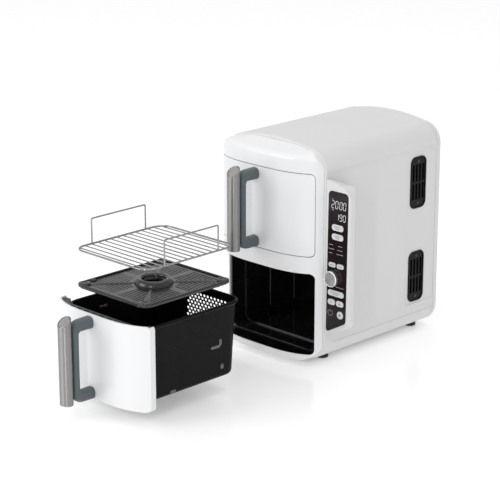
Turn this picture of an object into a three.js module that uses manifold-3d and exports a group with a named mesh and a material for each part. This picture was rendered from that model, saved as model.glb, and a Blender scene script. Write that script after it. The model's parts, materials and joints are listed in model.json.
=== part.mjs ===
// A two-drawer stacked air fryer with its lower drawer pulled out and its crisper plate and rack lifted clear.
// Millimetres, +Z up. X runs across the front, -Y is the way the drawers open, and Y = 0 in the drawing frame
// is the plane of the drawer seams. The last lines move the whole drawing so that the origin is the middle of
// the footprint.
import * as THREE from 'three';
import { mergeVertices } from 'three/addons/utils/BufferGeometryUtils.js';
import Module from 'manifold-3d';

const wasm = await Module();
wasm.setup();

// ---------------------------------------------------------------- driving dimensions
const GAP = 0.3; // between pieces that touch
const SEAM = 0.8; // visible gap round a drawer front

// cabinet
const LEFT = -142;
const RIGHT = 88;
const MID_X = (LEFT + RIGHT) / 2;
const REAR = 306;
const BASE_Z = 9;
const SHOULDER_Z = 376;
const ROOF_CROWN = 8;
const EDGE_RADIUS = 36;
const HOUSING_WALL = 5.5;
const HOUSING_FRONT = 6;
const COVER_DEPTH = 9;

// bowed front
const BEZEL_INSET = 2.5;
const BEZEL_BACK = HOUSING_FRONT - GAP;
const BOW = 35;
const BOW_END = 6;
const BOW_POWER = 3.5;
const CAP_EDGE_Z = 366;
const CAP_SLOPE = 0.42;
const CAP_ROUND = 8;
const SKIN = 3;

// zones: each has a drawer front, and everything else in the zone is measured up from its lower edge
const ZONES = { upper: 194.8, lower: 22 };
const FRONT_H = 144;
const FRONT_RIGHT = 76;
const FRONT_BACK = 4.5;
const SEAM_RADIUS = 9;
const DRAWER_X = -34;
const LOWER_TRAVEL = 370;

// cavity
const CAVITY = { left: -129.5, right: 67.5, floor: 4.5, top: 140, rear: 262, lowRadius: 14, topRadius: 4 };
const MOUTH_DEPTH = 40;
const MOUTH_STEP = 2.5;
const LINER_WALL = 1.6;
const CAVITY_RIB_Y = [101, 163];
const GUARD_Y = 216;
const GUARD_HOLE = 54;

// basket, at its rim
const BASKET = { left: -127, right: 65, front: -10, rear: 209, rim: 137, floor: 7, radius: 24, sheet: 1.4 };
const AIR_HOLES = { x: -18.5, height: 98.5, columns: 4, rows: 3 };

// handle: an upright oval tube whose top is cut at a slant, high at the back
const BAR = { x: -41, y: -80, halfX: 12, halfY: 10, low: 4.5, high: 149, slope: 0.725, wall: 1.6 };

// crisper plate and rack, held clear above the open drawer
const PLATE = { left: -115, right: 53, front: 3, rear: 196, z: 190, thick: 2.5, radius: 20 };
const RING = { radius: 32, hole: 19.5, height: 8 };
const RACK = { left: -117, right: 55, front: 6, rear: 199, z: 248, wire: 1.9, radius: 22, wires: 14 };

// control console on the right side
const CONSOLE = { left: RIGHT + GAP, right: 141, front: 8, edge: 24, rear: 78, low: 60, high: 330 };
const PANEL = { left: 92, right: 135.3, top: 313, lowLeft: 68, lowRight: 89, thick: 1.6, lean: 0.0125, pivot: 190 };

// fan group behind each cavity
const FAN = { x: MID_X, z: 72, bladeR: 46, elementR: 58 };

// ---------------------------------------------------------------- materials
const finish = (colour, roughness, metalness = 0) =>
  new THREE.MeshStandardMaterial({ color: colour, roughness, metalness });
const GLOSS_WHITE = finish(0xf4f5f6, 0.22);
const SATIN_WHITE = finish(0xdededc, 0.45);
const BLACK_PLASTIC = finish(0x121214, 0.4);
const CAVITY_ENAMEL = finish(0x0c0c0d, 0.25, 0.3);
const NON_STICK = finish(0x1b1b1c, 0.42, 0.3);
const SLATE = finish(0x545c60, 0.5);
const GREY_PLASTIC = finish(0x9aa0a4, 0.5);
const BRUSHED_STEEL = finish(0xc4c4c2, 0.3, 1);
const CHROME = finish(0xd2d2d2, 0.18, 1);
const GLASS_BLACK = finish(0x08080a, 0.08);
const KEY_GREY = finish(0xd4d4d4, 0.4);
const RUBBER = finish(0x1c1c1d, 0.8);
const SILICONE = finish(0x2a2b2d, 0.7);
const COPPER = finish(0x9c6a3c, 0.4, 1);
const BOARD_GREEN = finish(0x1f5a3a, 0.6);

// ---------------------------------------------------------------- geometry helpers
const CLEAN_TO = 0.03; // slivers thinner than this are merged away
const fryer = new THREE.Group();
const drawing = new THREE.Group();
fryer.add(drawing);

function solid(geometry) {
  const bare = geometry.clone();
  bare.deleteAttribute('normal');
  bare.deleteAttribute('uv');
  const merged = mergeVertices(bare, 1e-4);
  return new wasm.Manifold(
    new wasm.Mesh({
      numProp: 3,
      vertProperties: new Float32Array(merged.attributes.position.array),
      triVerts: new Uint32Array(merged.index.array),
    }),
  );
}

function add(name, shape, material, parent = drawing) {
  let geometry = shape;
  if (!shape.isBufferGeometry) {
    const { vertProperties, triVerts } = shape.simplify(CLEAN_TO).getMesh();
    geometry = new THREE.BufferGeometry();
    geometry.setAttribute('position', new THREE.BufferAttribute(vertProperties, 3));
    geometry.setIndex(new THREE.BufferAttribute(triVerts, 1));
    geometry.computeVertexNormals();
  }
  const mesh = new THREE.Mesh(geometry, material);
  mesh.name = name;
  parent.add(mesh);
  return mesh;
}

// Sets the corner arcs of a rectangle, as a shape or as a hole.
function roundedRect(x0, y0, x1, y1, radius, path = new THREE.Shape()) {
  const r = Math.min(radius, (x1 - x0) / 2 - 0.01, (y1 - y0) / 2 - 0.01);
  path.moveTo(x0 + r, y0);
  path.absarc(x1 - r, y0 + r, r, -Math.PI / 2, 0, false);
  path.absarc(x1 - r, y1 - r, r, 0, Math.PI / 2, false);
  path.absarc(x0 + r, y1 - r, r, Math.PI / 2, Math.PI, false);
  path.absarc(x0 + r, y0 + r, r, Math.PI, Math.PI * 1.5, false);
  return path;
}

function polygon(points) {
  return new THREE.Shape(points.map(([x, y]) => new THREE.Vector2(x, y)));
}

function oval(cx, cy, rx, ry) {
  const path = new THREE.Shape();
  path.absellipse(cx, cy, rx, ry, 0, Math.PI * 2, false);
  return path;
}

const extrude = (shape, depth, segments) =>
  new THREE.ExtrudeGeometry(shape, { depth, bevelEnabled: false, curveSegments: segments });

// The outline lies in plan (X, Y) and is pulled from z0 up to z1.
function alongZ(shape, z0, z1, segments = 4) {
  return extrude(shape, z1 - z0, segments).translate(0, 0, z0);
}

// The outline lies in elevation (X, Z) and is pulled from y0 back to y1.
function alongY(shape, y0, y1, segments = 3) {
  return extrude(shape, y1 - y0, segments).rotateX(Math.PI / 2).translate(0, y1, 0);
}

// The outline lies in side view (Y, Z) and is pulled from x0 to x1.
function alongX(shape, x0, x1, segments = 3) {
  const turn = new THREE.Matrix4().makeBasis(
    new THREE.Vector3(0, 1, 0),
    new THREE.Vector3(0, 0, 1),
    new THREE.Vector3(1, 0, 0),
  );
  return extrude(shape, x1 - x0, segments).applyMatrix4(turn).translate(x0, 0, 0);
}

function box(x0, y0, z0, x1, y1, z1) {
  return new THREE.BoxGeometry(x1 - x0, y1 - y0, z1 - z0).translate((x0 + x1) / 2, (y0 + y1) / 2, (z0 + z1) / 2);
}

const solidBox = (...corners) => solid(box(...corners));

function rodAlongY(x, z, radius, y0, y1, sides = 20) {
  const rod = new THREE.CylinderGeometry(radius, radius, y1 - y0, sides);
  return rod.translate(x, (y0 + y1) / 2, z);
}

// A closed body through convex rings of equal count, from the lowest ring to the highest.
function stackedRings(rings) {
  const count = rings[0].length;
  const positions = rings.flat(2);
  const index = [];
  for (let level = 0; level < rings.length - 1; level += 1) {
    for (let i = 0; i < count; i += 1) {
      const a = level * count + i;
      const b = level * count + ((i + 1) % count);
      index.push(a, b, b + count, a, b + count, a + count);
    }
  }
  const top = (rings.length - 1) * count;
  for (let i = 1; i < count - 1; i += 1) {
    index.push(0, i + 1, i, top, top + i, top + i + 1);
  }
  const geometry = new THREE.BufferGeometry();
  geometry.setAttribute('position', new THREE.Float32BufferAttribute(positions, 3));
  geometry.setIndex(index);
  return geometry;
}

// Rounded rectangles stacked in Z. Each level is [z, inset, cornerRadius].
function stackedRects({ left, right, front, rear }, levels, segments = 4) {
  return stackedRings(levels.map(([z, inset, radius]) => {
    const shape = roundedRect(left + inset, front + inset, right - inset, rear - inset, radius);
    return shape.extractPoints(segments).shape.slice(0, -1).map((p) => [p.x, p.y, z]);
  }));
}

// ---------------------------------------------------------------- cabinet outline and bowed front
// The cabinet's section across its width: large rounded edges and a slightly crowned roof.
function cabinetSection(inset) {
  const left = LEFT + inset;
  const right = RIGHT - inset;
  const base = BASE_Z + inset;
  const shoulder = SHOULDER_Z - inset;
  const r = EDGE_RADIUS - inset;
  const shape = new THREE.Shape();
  shape.moveTo(left + r, base);
  shape.absarc(right - r, base + r, r, -Math.PI / 2, 0, false);
  shape.absarc(right - r, shoulder - r, r, 0, Math.PI / 2, false);
  shape.quadraticCurveTo(MID_X, shoulder + 2 * ROOF_CROWN, left + r, shoulder);
  shape.absarc(left + r, shoulder - r, r, Math.PI / 2, Math.PI, false);
  shape.absarc(left + r, base + r, r, Math.PI, Math.PI * 1.5, false);
  return shape;
}

// How far forward the front stands at x. The bow is fullest behind the handles.
function bowAt(x) {
  const t = Math.abs((x - DRAWER_X) / (RIGHT - DRAWER_X));
  return BOW_END - BOW * (1 - t ** BOW_POWER);
}

// The front's outline in plan, set back by an inset all over.
function frontPlan(inset) {
  const steps = 18;
  const behind = BEZEL_BACK + 60;
  const points = [[RIGHT, behind], [LEFT, behind]];
  for (let i = 0; i <= steps; i += 1) {
    const x = LEFT + ((RIGHT - LEFT) * i) / steps;
    points.push([x, bowAt(x) + inset]);
  }
  return points;
}

// The front's height profile above its flat face: [z, setback] through the soft edge and up the cap's slope.
function capLevels(inset) {
  const top = CAP_EDGE_Z - inset;
  const levels = [[0, inset]];
  const steps = 4;
  for (let i = 0; i <= steps; i += 1) {
    const t = i / steps;
    const setback = CAP_ROUND * t * t;
    levels.push([top + setback * CAP_SLOPE - CAP_ROUND * (1 - t) ** 2, inset + setback]);
  }
  const reach = 40;
  levels.push([top + reach * CAP_SLOPE, inset + reach]);
  return levels;
}

// The front as one block, before the drawer fronts are divided from the bezel.
function frontBlock(inset) {
  const rings = capLevels(inset).map(([z, setback]) => frontPlan(setback).map(([x, y]) => [x, y, z]));
  const nose = BOW_END - BOW;
  return solid(alongY(cabinetSection(BEZEL_INSET + inset), nose - 1, BEZEL_BACK, 7))
    .intersect(solid(stackedRings(rings)));
}

// The pocket that a drawer front fills. It runs out through the left side.
function frontPocket(zoneZ, grow) {
  const outline = roundedRect(
    LEFT - 30, zoneZ - grow, FRONT_RIGHT + grow, zoneZ + FRONT_H + grow, SEAM_RADIUS + grow,
  );
  return solid(alongY(outline, -40, 20));
}

function addBezel() {
  let hollow = frontBlock(SKIN).translate(0, 0.1, 0);
  let bezel = frontBlock(0);
  for (const zoneZ of Object.values(ZONES)) {
    hollow = hollow.subtract(frontPocket(zoneZ, SKIN));
  }
  bezel = bezel.subtract(hollow);
  for (const zoneZ of Object.values(ZONES)) {
    bezel = bezel.subtract(frontPocket(zoneZ, 0));
  }
  add('front_bezel', bezel, GLOSS_WHITE);
}

// ---------------------------------------------------------------- housing, base and rear
const VENT_BAND = { front: 214, low: 56, high: 336, depth: 2.2, chamfer: 4 };
const VENTS = { upper: [233, 326], lower: [62, 154.5] };
const VENT_Y = [227, 268];
const VENT_RADIUS = 12;
const BASE_PAN_HALF = (RIGHT - LEFT) / 2 - EDGE_RADIUS;

function ventOutline(z0, z1, grow) {
  return roundedRect(VENT_Y[0] - grow, z0 - grow, VENT_Y[1] + grow, z1 + grow, VENT_RADIUS + grow);
}

// The shallow recess round the vents: sideways from x0 inwards to x1, with sloping walls.
function ventBand(x0, x1) {
  const { front, low, high, chamfer } = VENT_BAND;
  const slice = (x, inset) => {
    const outline = roundedRect(front + inset, low + inset, REAR + 40, high - inset, 14 - inset);
    return solid(alongX(outline, x - 0.01, x + 0.01));
  };
  return wasm.Manifold.hull([slice(x0, -chamfer), slice((x0 + x1) / 2, 0), slice(x1, chamfer)]);
}

function addHousing() {
  let shell = solid(alongY(cabinetSection(0), HOUSING_FRONT, REAR - COVER_DEPTH - GAP, 7));
  shell = shell.subtract(solid(alongY(cabinetSection(HOUSING_WALL), HOUSING_FRONT - 1, REAR, 5)));
  shell = shell.subtract(solidBox(MID_X - BASE_PAN_HALF, 0, 0, MID_X + BASE_PAN_HALF, REAR, BASE_Z + HOUSING_WALL + 1));
  shell = shell.subtract(ventBand(RIGHT + VENT_BAND.depth, RIGHT - VENT_BAND.depth));
  shell = shell.subtract(ventBand(LEFT - VENT_BAND.depth, LEFT + VENT_BAND.depth));
  for (const [z0, z1] of Object.values(VENTS)) {
    shell = shell.subtract(solid(alongX(ventOutline(z0, z1, 0), LEFT - 5, RIGHT + 5)));
  }
  add('housing_shell', shell, SATIN_WHITE);
}

function addSideVents() {
  const sides = { right: [RIGHT - HOUSING_WALL, RIGHT - 1.2], left: [LEFT + 1.2, LEFT + HOUSING_WALL] };
  for (const [side, [x0, x1]] of Object.entries(sides)) {
    for (const [level, [z0, z1]] of Object.entries(VENTS)) {
      let grille = solid(alongX(ventOutline(z0, z1, -GAP), x0, x1));
      const slots = 4;
      const pitch = 8.5;
      const middle = (z0 + z1) / 2;
      for (let i = 0; i < slots; i += 1) {
        const y = (VENT_Y[0] + VENT_Y[1]) / 2 + (i - (slots - 1) / 2) * pitch;
        grille = grille
          .subtract(solidBox(x0 - 1, y - 2, z0 + 12, x1 + 1, y + 2, middle - 2.5))
          .subtract(solidBox(x0 - 1, y - 2, middle + 2.5, x1 + 1, y + 2, z1 - 12));
      }
      add(`side_vent_${side}_${level}`, grille, BLACK_PLASTIC);
    }
  }
}

function addBasePan() {
  const x0 = MID_X - BASE_PAN_HALF + GAP;
  const x1 = MID_X + BASE_PAN_HALF - GAP;
  let pan = solidBox(x0, HOUSING_FRONT + 2, BASE_Z, x1, REAR - COVER_DEPTH - 1, BASE_Z + 3);
  const slots = 9;
  for (let i = 0; i < slots; i += 1) {
    const x = MID_X + (i - (slots - 1) / 2) * 12;
    pan = pan.subtract(solidBox(x - 2.5, 190, 0, x + 2.5, 250, 20));
  }
  add('base_pan', pan, BLACK_PLASTIC);
}

function addRearCover() {
  const back = REAR - COVER_DEPTH;
  const outline = cabinetSection(4);
  const cover = new THREE.ExtrudeGeometry(outline, {
    depth: COVER_DEPTH - 4,
    bevelThickness: 4,
    bevelSize: 4,
    bevelSegments: 2,
    curveSegments: 7,
  });
  let shell = solid(cover.rotateX(Math.PI / 2).translate(0, REAR - 4, 0))
    .subtract(solidBox(LEFT - 5, back - 20, 0, RIGHT + 5, back, 400));
  shell = shell.subtract(solid(alongY(cabinetSection(HOUSING_WALL + 2), back - 1, REAR - 3.5, 3)));
  // louvred exhaust field behind each fan
  for (const zoneZ of Object.values(ZONES)) {
    for (let i = 0; i < 8; i += 1) {
      const z = zoneZ + FAN.z - 38.5 + i * 11;
      shell = shell.subtract(solidBox(FAN.x - 50, back - 1, z - 2.5, FAN.x + 50, REAR + 1, z + 2.5));
    }
  }
  shell = shell.subtract(solid(rodAlongY(GLAND.x, GLAND.z, GLAND.neck + GAP, back - 1, REAR + 1)));
  for (const [x, z] of SCREWS) {
    shell = shell.subtract(solid(rodAlongY(x, z, 4.4, REAR - 2, REAR + 1)));
  }
  add('rear_cover', shell, SATIN_WHITE);
}

const GLAND = { x: LEFT + 44, z: 34, neck: 7, flange: 11, bore: 4 };
const SCREWS = [
  [LEFT + 22, 60],
  [RIGHT - 22, 60],
  [LEFT + 22, 330],
  [RIGHT - 22, 330],
];

function addScrews() {
  SCREWS.forEach(([x, z], i) => {
    const head = solid(rodAlongY(x, z, 4, REAR - 2 + GAP, REAR - 0.2, 16))
      .subtract(solidBox(x - 2.6, REAR - 1, z - 0.5, x + 2.6, REAR + 1, z + 0.5))
      .subtract(solidBox(x - 0.5, REAR - 1, z - 2.6, x + 0.5, REAR + 1, z + 2.6));
    add(`rear_screw_${i + 1}`, head, CHROME);
  });
}

function addGland() {
  const { x, z, neck, flange, bore } = GLAND;
  const profile = [
    [bore, -8],
    [neck, -8],
    [neck, GAP],
    [flange, GAP],
    [flange, 2.5],
    [neck + 1, 6],
    [bore, 6],
    [bore, -8],
  ].map(([r, y]) => new THREE.Vector2(r, y));
  add('cord_gland', new THREE.LatheGeometry(profile, 14).translate(x, REAR, z), BLACK_PLASTIC);
}

const FEET = { x: [LEFT + 40, RIGHT - 40], y: [46, 280], radius: 11 };

function addFeet() {
  for (const [i, x] of FEET.x.entries()) {
    for (const [j, y] of FEET.y.entries()) {
      const profile = [[0, 0], [FEET.radius - 1, 0], [FEET.radius, 1], [FEET.radius - 1, BASE_Z - GAP], [0, BASE_Z - GAP]]
        .map(([r, z]) => new THREE.Vector2(r, z));
      const foot = new THREE.LatheGeometry(profile, 14).rotateX(Math.PI / 2).translate(x, y, 0);
      add(`foot_${['left', 'right'][i]}_${['front', 'rear'][j]}`, foot, RUBBER);
    }
  }
}

// ---------------------------------------------------------------- cooking zones
// The cavity's opening: wide rounded corners at the floor, tight ones at the ceiling.
function cavityOutline(zoneZ, grow) {
  const left = CAVITY.left - grow;
  const right = CAVITY.right + grow;
  const floor = zoneZ + CAVITY.floor - grow;
  const top = zoneZ + CAVITY.top + grow;
  const low = CAVITY.lowRadius + grow;
  const high = CAVITY.topRadius + grow;
  const shape = new THREE.Shape();
  shape.moveTo(left + low, floor);
  shape.absarc(right - low, floor + low, low, -Math.PI / 2, 0, false);
  shape.absarc(right - high, top - high, high, 0, Math.PI / 2, false);
  shape.absarc(left + high, top - high, high, Math.PI / 2, Math.PI, false);
  shape.absarc(left + low, floor + low, low, Math.PI, Math.PI * 1.5, false);
  return shape;
}

function addLiner(level, zoneZ) {
  const flangeY = HOUSING_FRONT + GAP;
  const flange = roundedRect(-136, zoneZ - 2, FRONT_RIGHT + 6, zoneZ + FRONT_H + 2, 12);
  let liner = solid(alongY(flange, flangeY, flangeY + 3));
  liner = liner.add(solid(alongY(cavityOutline(zoneZ, MOUTH_STEP + LINER_WALL), flangeY, MOUTH_DEPTH + LINER_WALL)));
  liner = liner.add(solid(alongY(cavityOutline(zoneZ, LINER_WALL), flangeY, CAVITY.rear)));
  liner = liner.subtract(solid(alongY(cavityOutline(zoneZ, MOUTH_STEP), flangeY - 1, MOUTH_DEPTH)));
  liner = liner.subtract(solid(alongY(cavityOutline(zoneZ, 0), flangeY, CAVITY.rear - LINER_WALL)));
  liner = liner.subtract(solid(rodAlongY(FAN.x, zoneZ + FAN.z, 6, CAVITY.rear - 5, CAVITY.rear + 5, 16)));
  for (const y of CAVITY_RIB_Y) {
    for (const x of [CAVITY.left, CAVITY.right]) {
      const rib = solidBox(x - 0.9, y - 1.5, zoneZ + 16, x + 0.9, y + 1.5, zoneZ + CAVITY.top - 12);
      liner = liner.add(rib);
    }
  }
  liner = liner.intersect(solid(alongY(cabinetSection(HOUSING_WALL + GAP), 0, REAR, 5)));
  add(`cavity_liner_${level}`, liner, CAVITY_ENAMEL);
}

function addFanGroup(level, zoneZ) {
  const z = zoneZ + FAN.z;
  let guard = solid(alongY(cavityOutline(zoneZ, -GAP), GUARD_Y, GUARD_Y + 1.5));
  for (let row = -4; row <= 4; row += 1) {
    const height = z + row * 11;
    const half = Math.sqrt(GUARD_HOLE ** 2 - (row * 11) ** 2);
    guard = guard
      .subtract(solidBox(FAN.x - half, GUARD_Y - 1, height - 3, FAN.x - 3, GUARD_Y + 3, height + 3))
      .subtract(solidBox(FAN.x + 3, GUARD_Y - 1, height - 3, FAN.x + half, GUARD_Y + 3, height + 3));
  }
  add(`fan_guard_${level}`, guard, CAVITY_ENAMEL);

  const element = new THREE.TorusGeometry(FAN.elementR, 3.2, 6, 28).rotateX(Math.PI / 2).translate(FAN.x, 227, z);
  add(`heating_element_${level}`, element, CHROME);

  let impeller = solid(rodAlongY(FAN.x, z, FAN.bladeR, 250, 251.2, 24));
  impeller = impeller.add(solid(rodAlongY(FAN.x, z, 7, 238, 256, 16)));
  const blades = 8;
  for (let i = 0; i < blades; i += 1) {
    const blade = new THREE.BoxGeometry(32, 12, 1.2)
      .rotateY(0.35)
      .translate(FAN.bladeR - 17, 244.5, 0)
      .rotateY((Math.PI * 2 * i) / blades)
      .translate(FAN.x, 0, z);
    impeller = impeller.add(solid(blade));
  }
  add(`fan_impeller_${level}`, impeller, BRUSHED_STEEL);

  let motor = solid(rodAlongY(FAN.x, z, 27, CAVITY.rear + GAP + 3, REAR - COVER_DEPTH - 4, 28));
  motor = motor.add(solid(rodAlongY(FAN.x, z, 10, CAVITY.rear + GAP, CAVITY.rear + 6, 16)));
  motor = motor.add(solid(rodAlongY(FAN.x, z, 3, 256 + GAP, CAVITY.rear + 6, 12)));
  add(`fan_motor_${level}`, motor, COPPER);
}

// ---------------------------------------------------------------- drawers
function basketBody(zoneZ) {
  const z = (height) => zoneZ + height;
  const { floor, rim, radius, sheet } = BASKET;
  const outer = stackedRects(BASKET, [
    [z(floor), 20, radius - 10],
    [z(floor + 2.5), 13, radius - 7],
    [z(floor + 8), 9.5, radius - 5],
    [z(rim - 7), 3.2, radius - 2],
    [z(rim - 6), 0, radius],
    [z(rim), 0, radius],
  ]);
  const inner = stackedRects(BASKET, [
    [z(floor + sheet), 20 + sheet, radius - 11],
    [z(floor + 2.5 + sheet), 13 + sheet, radius - 8],
    [z(floor + 8 + sheet), 9.5 + sheet, radius - 6],
    [z(rim - 7), 3.2 + sheet, radius - 3],
    [z(rim + 1), 3.2 + sheet, radius - 3],
  ]);
  return solid(outer).subtract(solid(inner));
}

// Oblong air holes, row over row and staggered, in the basket's rear wall.
function cutAirHoles(basket, zoneZ) {
  let cut = basket;
  for (let row = 0; row < AIR_HOLES.rows; row += 1) {
    for (let column = 0; column < AIR_HOLES.columns; column += 1) {
      const x = AIR_HOLES.x + (column - (AIR_HOLES.columns - 1) / 2) * 20 + (row % 2 ? 5 : -5);
      const z = zoneZ + AIR_HOLES.height + (row - (AIR_HOLES.rows - 1) / 2) * 16;
      cut = cut.subtract(solidBox(x - 6, BASKET.rear - 14, z - 4, x + 6, BASKET.rear + 3, z + 4));
    }
  }
  return cut;
}

// The white skin of a drawer. It is open at the back and along its top edge.
function drawerFront(zoneZ) {
  const open = roundedRect(
    LEFT - 30,
    zoneZ + SEAM + SKIN,
    FRONT_RIGHT - SEAM - SKIN,
    zoneZ + FRONT_H + 40,
    SEAM_RADIUS - SEAM - SKIN,
  );
  const hollow = frontBlock(SKIN).intersect(solid(alongY(open, -40, 20)));
  return frontBlock(0)
    .intersect(frontPocket(zoneZ, -SEAM))
    .subtract(hollow)
    .subtract(solidBox(LEFT - 5, FRONT_BACK, 0, RIGHT + 5, 20, 400));
}

// The grey moulding inside the drawer front. It wraps the front of the basket and carries a row of slots on top.
function drawerInner(zoneZ) {
  const wrap = roundedRect(
    BASKET.left - 2 * GAP,
    BASKET.front - 2 * GAP,
    BASKET.right + 2 * GAP,
    BASKET.rear,
    BASKET.radius + 2 * GAP,
  );
  const wall = 2.4;
  const ribbed = frontBlock(SKIN + GAP + wall)
    .intersect(frontPocket(zoneZ, -SEAM - SKIN - GAP - wall))
    .intersect(solidBox(LEFT, -60, 0, RIGHT, BASKET.front - wall - 1, zoneZ + FRONT_H - 9));
  let insert = frontBlock(SKIN + GAP)
    .intersect(frontPocket(zoneZ, -SEAM - SKIN - GAP))
    .subtract(solidBox(LEFT - 5, FRONT_BACK, 0, RIGHT + 5, 20, 400))
    .subtract(solid(alongZ(wrap, zoneZ + 5.5, 400)))
    .subtract(ribbed)
    .subtract(solidBox(DRAWER_X - 40, -22, zoneZ - 5, DRAWER_X + 40, BASKET.front - wall - 1, zoneZ + 30));
  const slots = 8;
  for (let i = 0; i < slots; i += 1) {
    const x = DRAWER_X + (i - (slots - 1) / 2) * 18;
    insert = insert.subtract(solidBox(x - 6, -19, zoneZ + FRONT_H - 12, x + 6, -15, zoneZ + FRONT_H + 5));
  }
  return insert;
}

// The side view above the bar's slanted top, or above a line parallel to it.
function aboveBarTop(zoneZ, drop) {
  const topAt = (y) => zoneZ + BAR.high - drop + (y - BAR.y - BAR.halfY) * BAR.slope;
  const outline = polygon([[-120, topAt(-120)], [-40, topAt(-40)], [-40, 500], [-120, 500]]);
  return solid(alongX(outline, BAR.x - 20, BAR.x + 20));
}

function barOval(inset, z0, z1) {
  return solid(alongZ(oval(BAR.x, BAR.y, BAR.halfX - inset, BAR.halfY - inset), z0, z1, 11));
}

function handleBar(zoneZ) {
  const low = zoneZ + BAR.low;
  const high = zoneZ + BAR.high;
  return barOval(0, low, high)
    .subtract(barOval(BAR.wall, low - 1, high + 1))
    .subtract(aboveBarTop(zoneZ, 0));
}

// The cap closes the slanted top of the bar.
function handleCap(zoneZ) {
  return barOval(BAR.wall + GAP, zoneZ, zoneZ + BAR.high)
    .intersect(aboveBarTop(zoneZ, 7))
    .subtract(aboveBarTop(zoneZ, GAP));
}

// A C-shaped bracket: a spine behind the bar and an arm to the front at each end.
function handleBracket(zoneZ) {
  const back = BAR.y + BAR.halfY + GAP;
  const reach = bowAt(BAR.x) + 1;
  const low = zoneZ + 1.5;
  const high = zoneZ + 139.5;
  const arm = 20;
  const spine = 13;
  const shape = new THREE.Shape();
  shape.moveTo(back, low + 4);
  shape.quadraticCurveTo(back, low, back + 6, low);
  shape.lineTo(reach, low);
  shape.lineTo(reach, low + arm);
  shape.lineTo(back + 26, low + arm);
  shape.quadraticCurveTo(back + spine, low + arm + 2, back + spine, low + arm + 17);
  shape.lineTo(back + spine, high - arm - 17);
  shape.quadraticCurveTo(back + spine, high - arm - 2, back + 26, high - arm);
  shape.lineTo(reach, high - arm);
  shape.lineTo(reach, high);
  shape.lineTo(back + 5, high);
  shape.quadraticCurveTo(back, high, back, high - 5);
  return solid(alongX(shape, BAR.x - 10, BAR.x + 10, 5))
    .subtract(solid(alongZ(polygon(frontPlan(-GAP)), 0, 400)));
}

function addDrawer(level, zoneZ, slideOut) {
  const drawer = new THREE.Group();
  drawer.position.y = -slideOut;
  drawing.add(drawer);
  add(`drawer_front_${level}`, drawerFront(zoneZ), GLOSS_WHITE, drawer);
  add(`drawer_insert_${level}`, drawerInner(zoneZ), GREY_PLASTIC, drawer);
  add(`basket_${level}`, cutAirHoles(basketBody(zoneZ), zoneZ), NON_STICK, drawer);
  add(`handle_bar_${level}`, handleBar(zoneZ), BRUSHED_STEEL, drawer);
  add(`handle_cap_${level}`, handleCap(zoneZ), BRUSHED_STEEL, drawer);
  add(`handle_bracket_${level}`, handleBracket(zoneZ), SLATE, drawer);
}

// ---------------------------------------------------------------- crisper plates and racks
const PLATE_MID_X = (PLATE.left + PLATE.right) / 2;
const PLATE_MID_Y = (PLATE.front + PLATE.rear) / 2;
const BUMPER = 7;

// The plate at z = 0, with slit fields between its solid cross ribs and a ring to lift it by.
function platePart() {
  let plate = solid(alongZ(roundedRect(PLATE.left, PLATE.front, PLATE.right, PLATE.rear, PLATE.radius), -PLATE.thick, 0));
  const slits = 5;
  for (const sideX of [-1, 1]) {
    for (const sideY of [-1, 1]) {
      for (let i = 0; i < slits; i += 1) {
        const y = PLATE_MID_Y + sideY * (27 + i * 12.5);
        const near = i < 1 ? RING.radius + 6 : 14;
        const xs = [PLATE_MID_X + sideX * near, PLATE_MID_X + sideX * 74].sort((a, b) => a - b);
        plate = plate.subtract(solidBox(xs[0], y - 2, -9, xs[1], y + 2, 9));
      }
    }
  }
  plate = plate
    .add(solid(alongZ(oval(PLATE_MID_X, PLATE_MID_Y, RING.radius, RING.radius), -PLATE.thick, RING.height, 5)))
    .subtract(solid(alongZ(oval(PLATE_MID_X, PLATE_MID_Y, RING.hole, RING.hole), -9, RING.height + 1, 5)));
  for (const [x, y] of bumperPlaces()) {
    plate = plate.subtract(solid(alongZ(oval(x, y, BUMPER + 3 * GAP, BUMPER + 3 * GAP), -20, 20)));
  }
  return plate;
}

function bumperPlaces() {
  const places = [];
  for (const x of [PLATE.left + 6.5, PLATE.right - 6.5]) {
    for (const y of [PLATE.front + 34, PLATE.rear - 34]) {
      places.push([x, y]);
    }
  }
  return places;
}

function addPlates() {
  const lifted = new THREE.Group();
  lifted.position.set(0, -LOWER_TRAVEL, PLATE.z);
  drawing.add(lifted);
  add('crisper_plate_lower', platePart(), NON_STICK, lifted);
  bumperPlaces().forEach(([x, y], i) => {
    add(`plate_bumper_${i + 1}`, alongZ(oval(x, y, BUMPER, BUMPER), -5, 1.5), SILICONE, lifted);
  });

  const seated = new THREE.Group();
  seated.position.z = ZONES.upper + 22;
  drawing.add(seated);
  add('crisper_plate_upper', platePart(), NON_STICK, seated);
}

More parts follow.
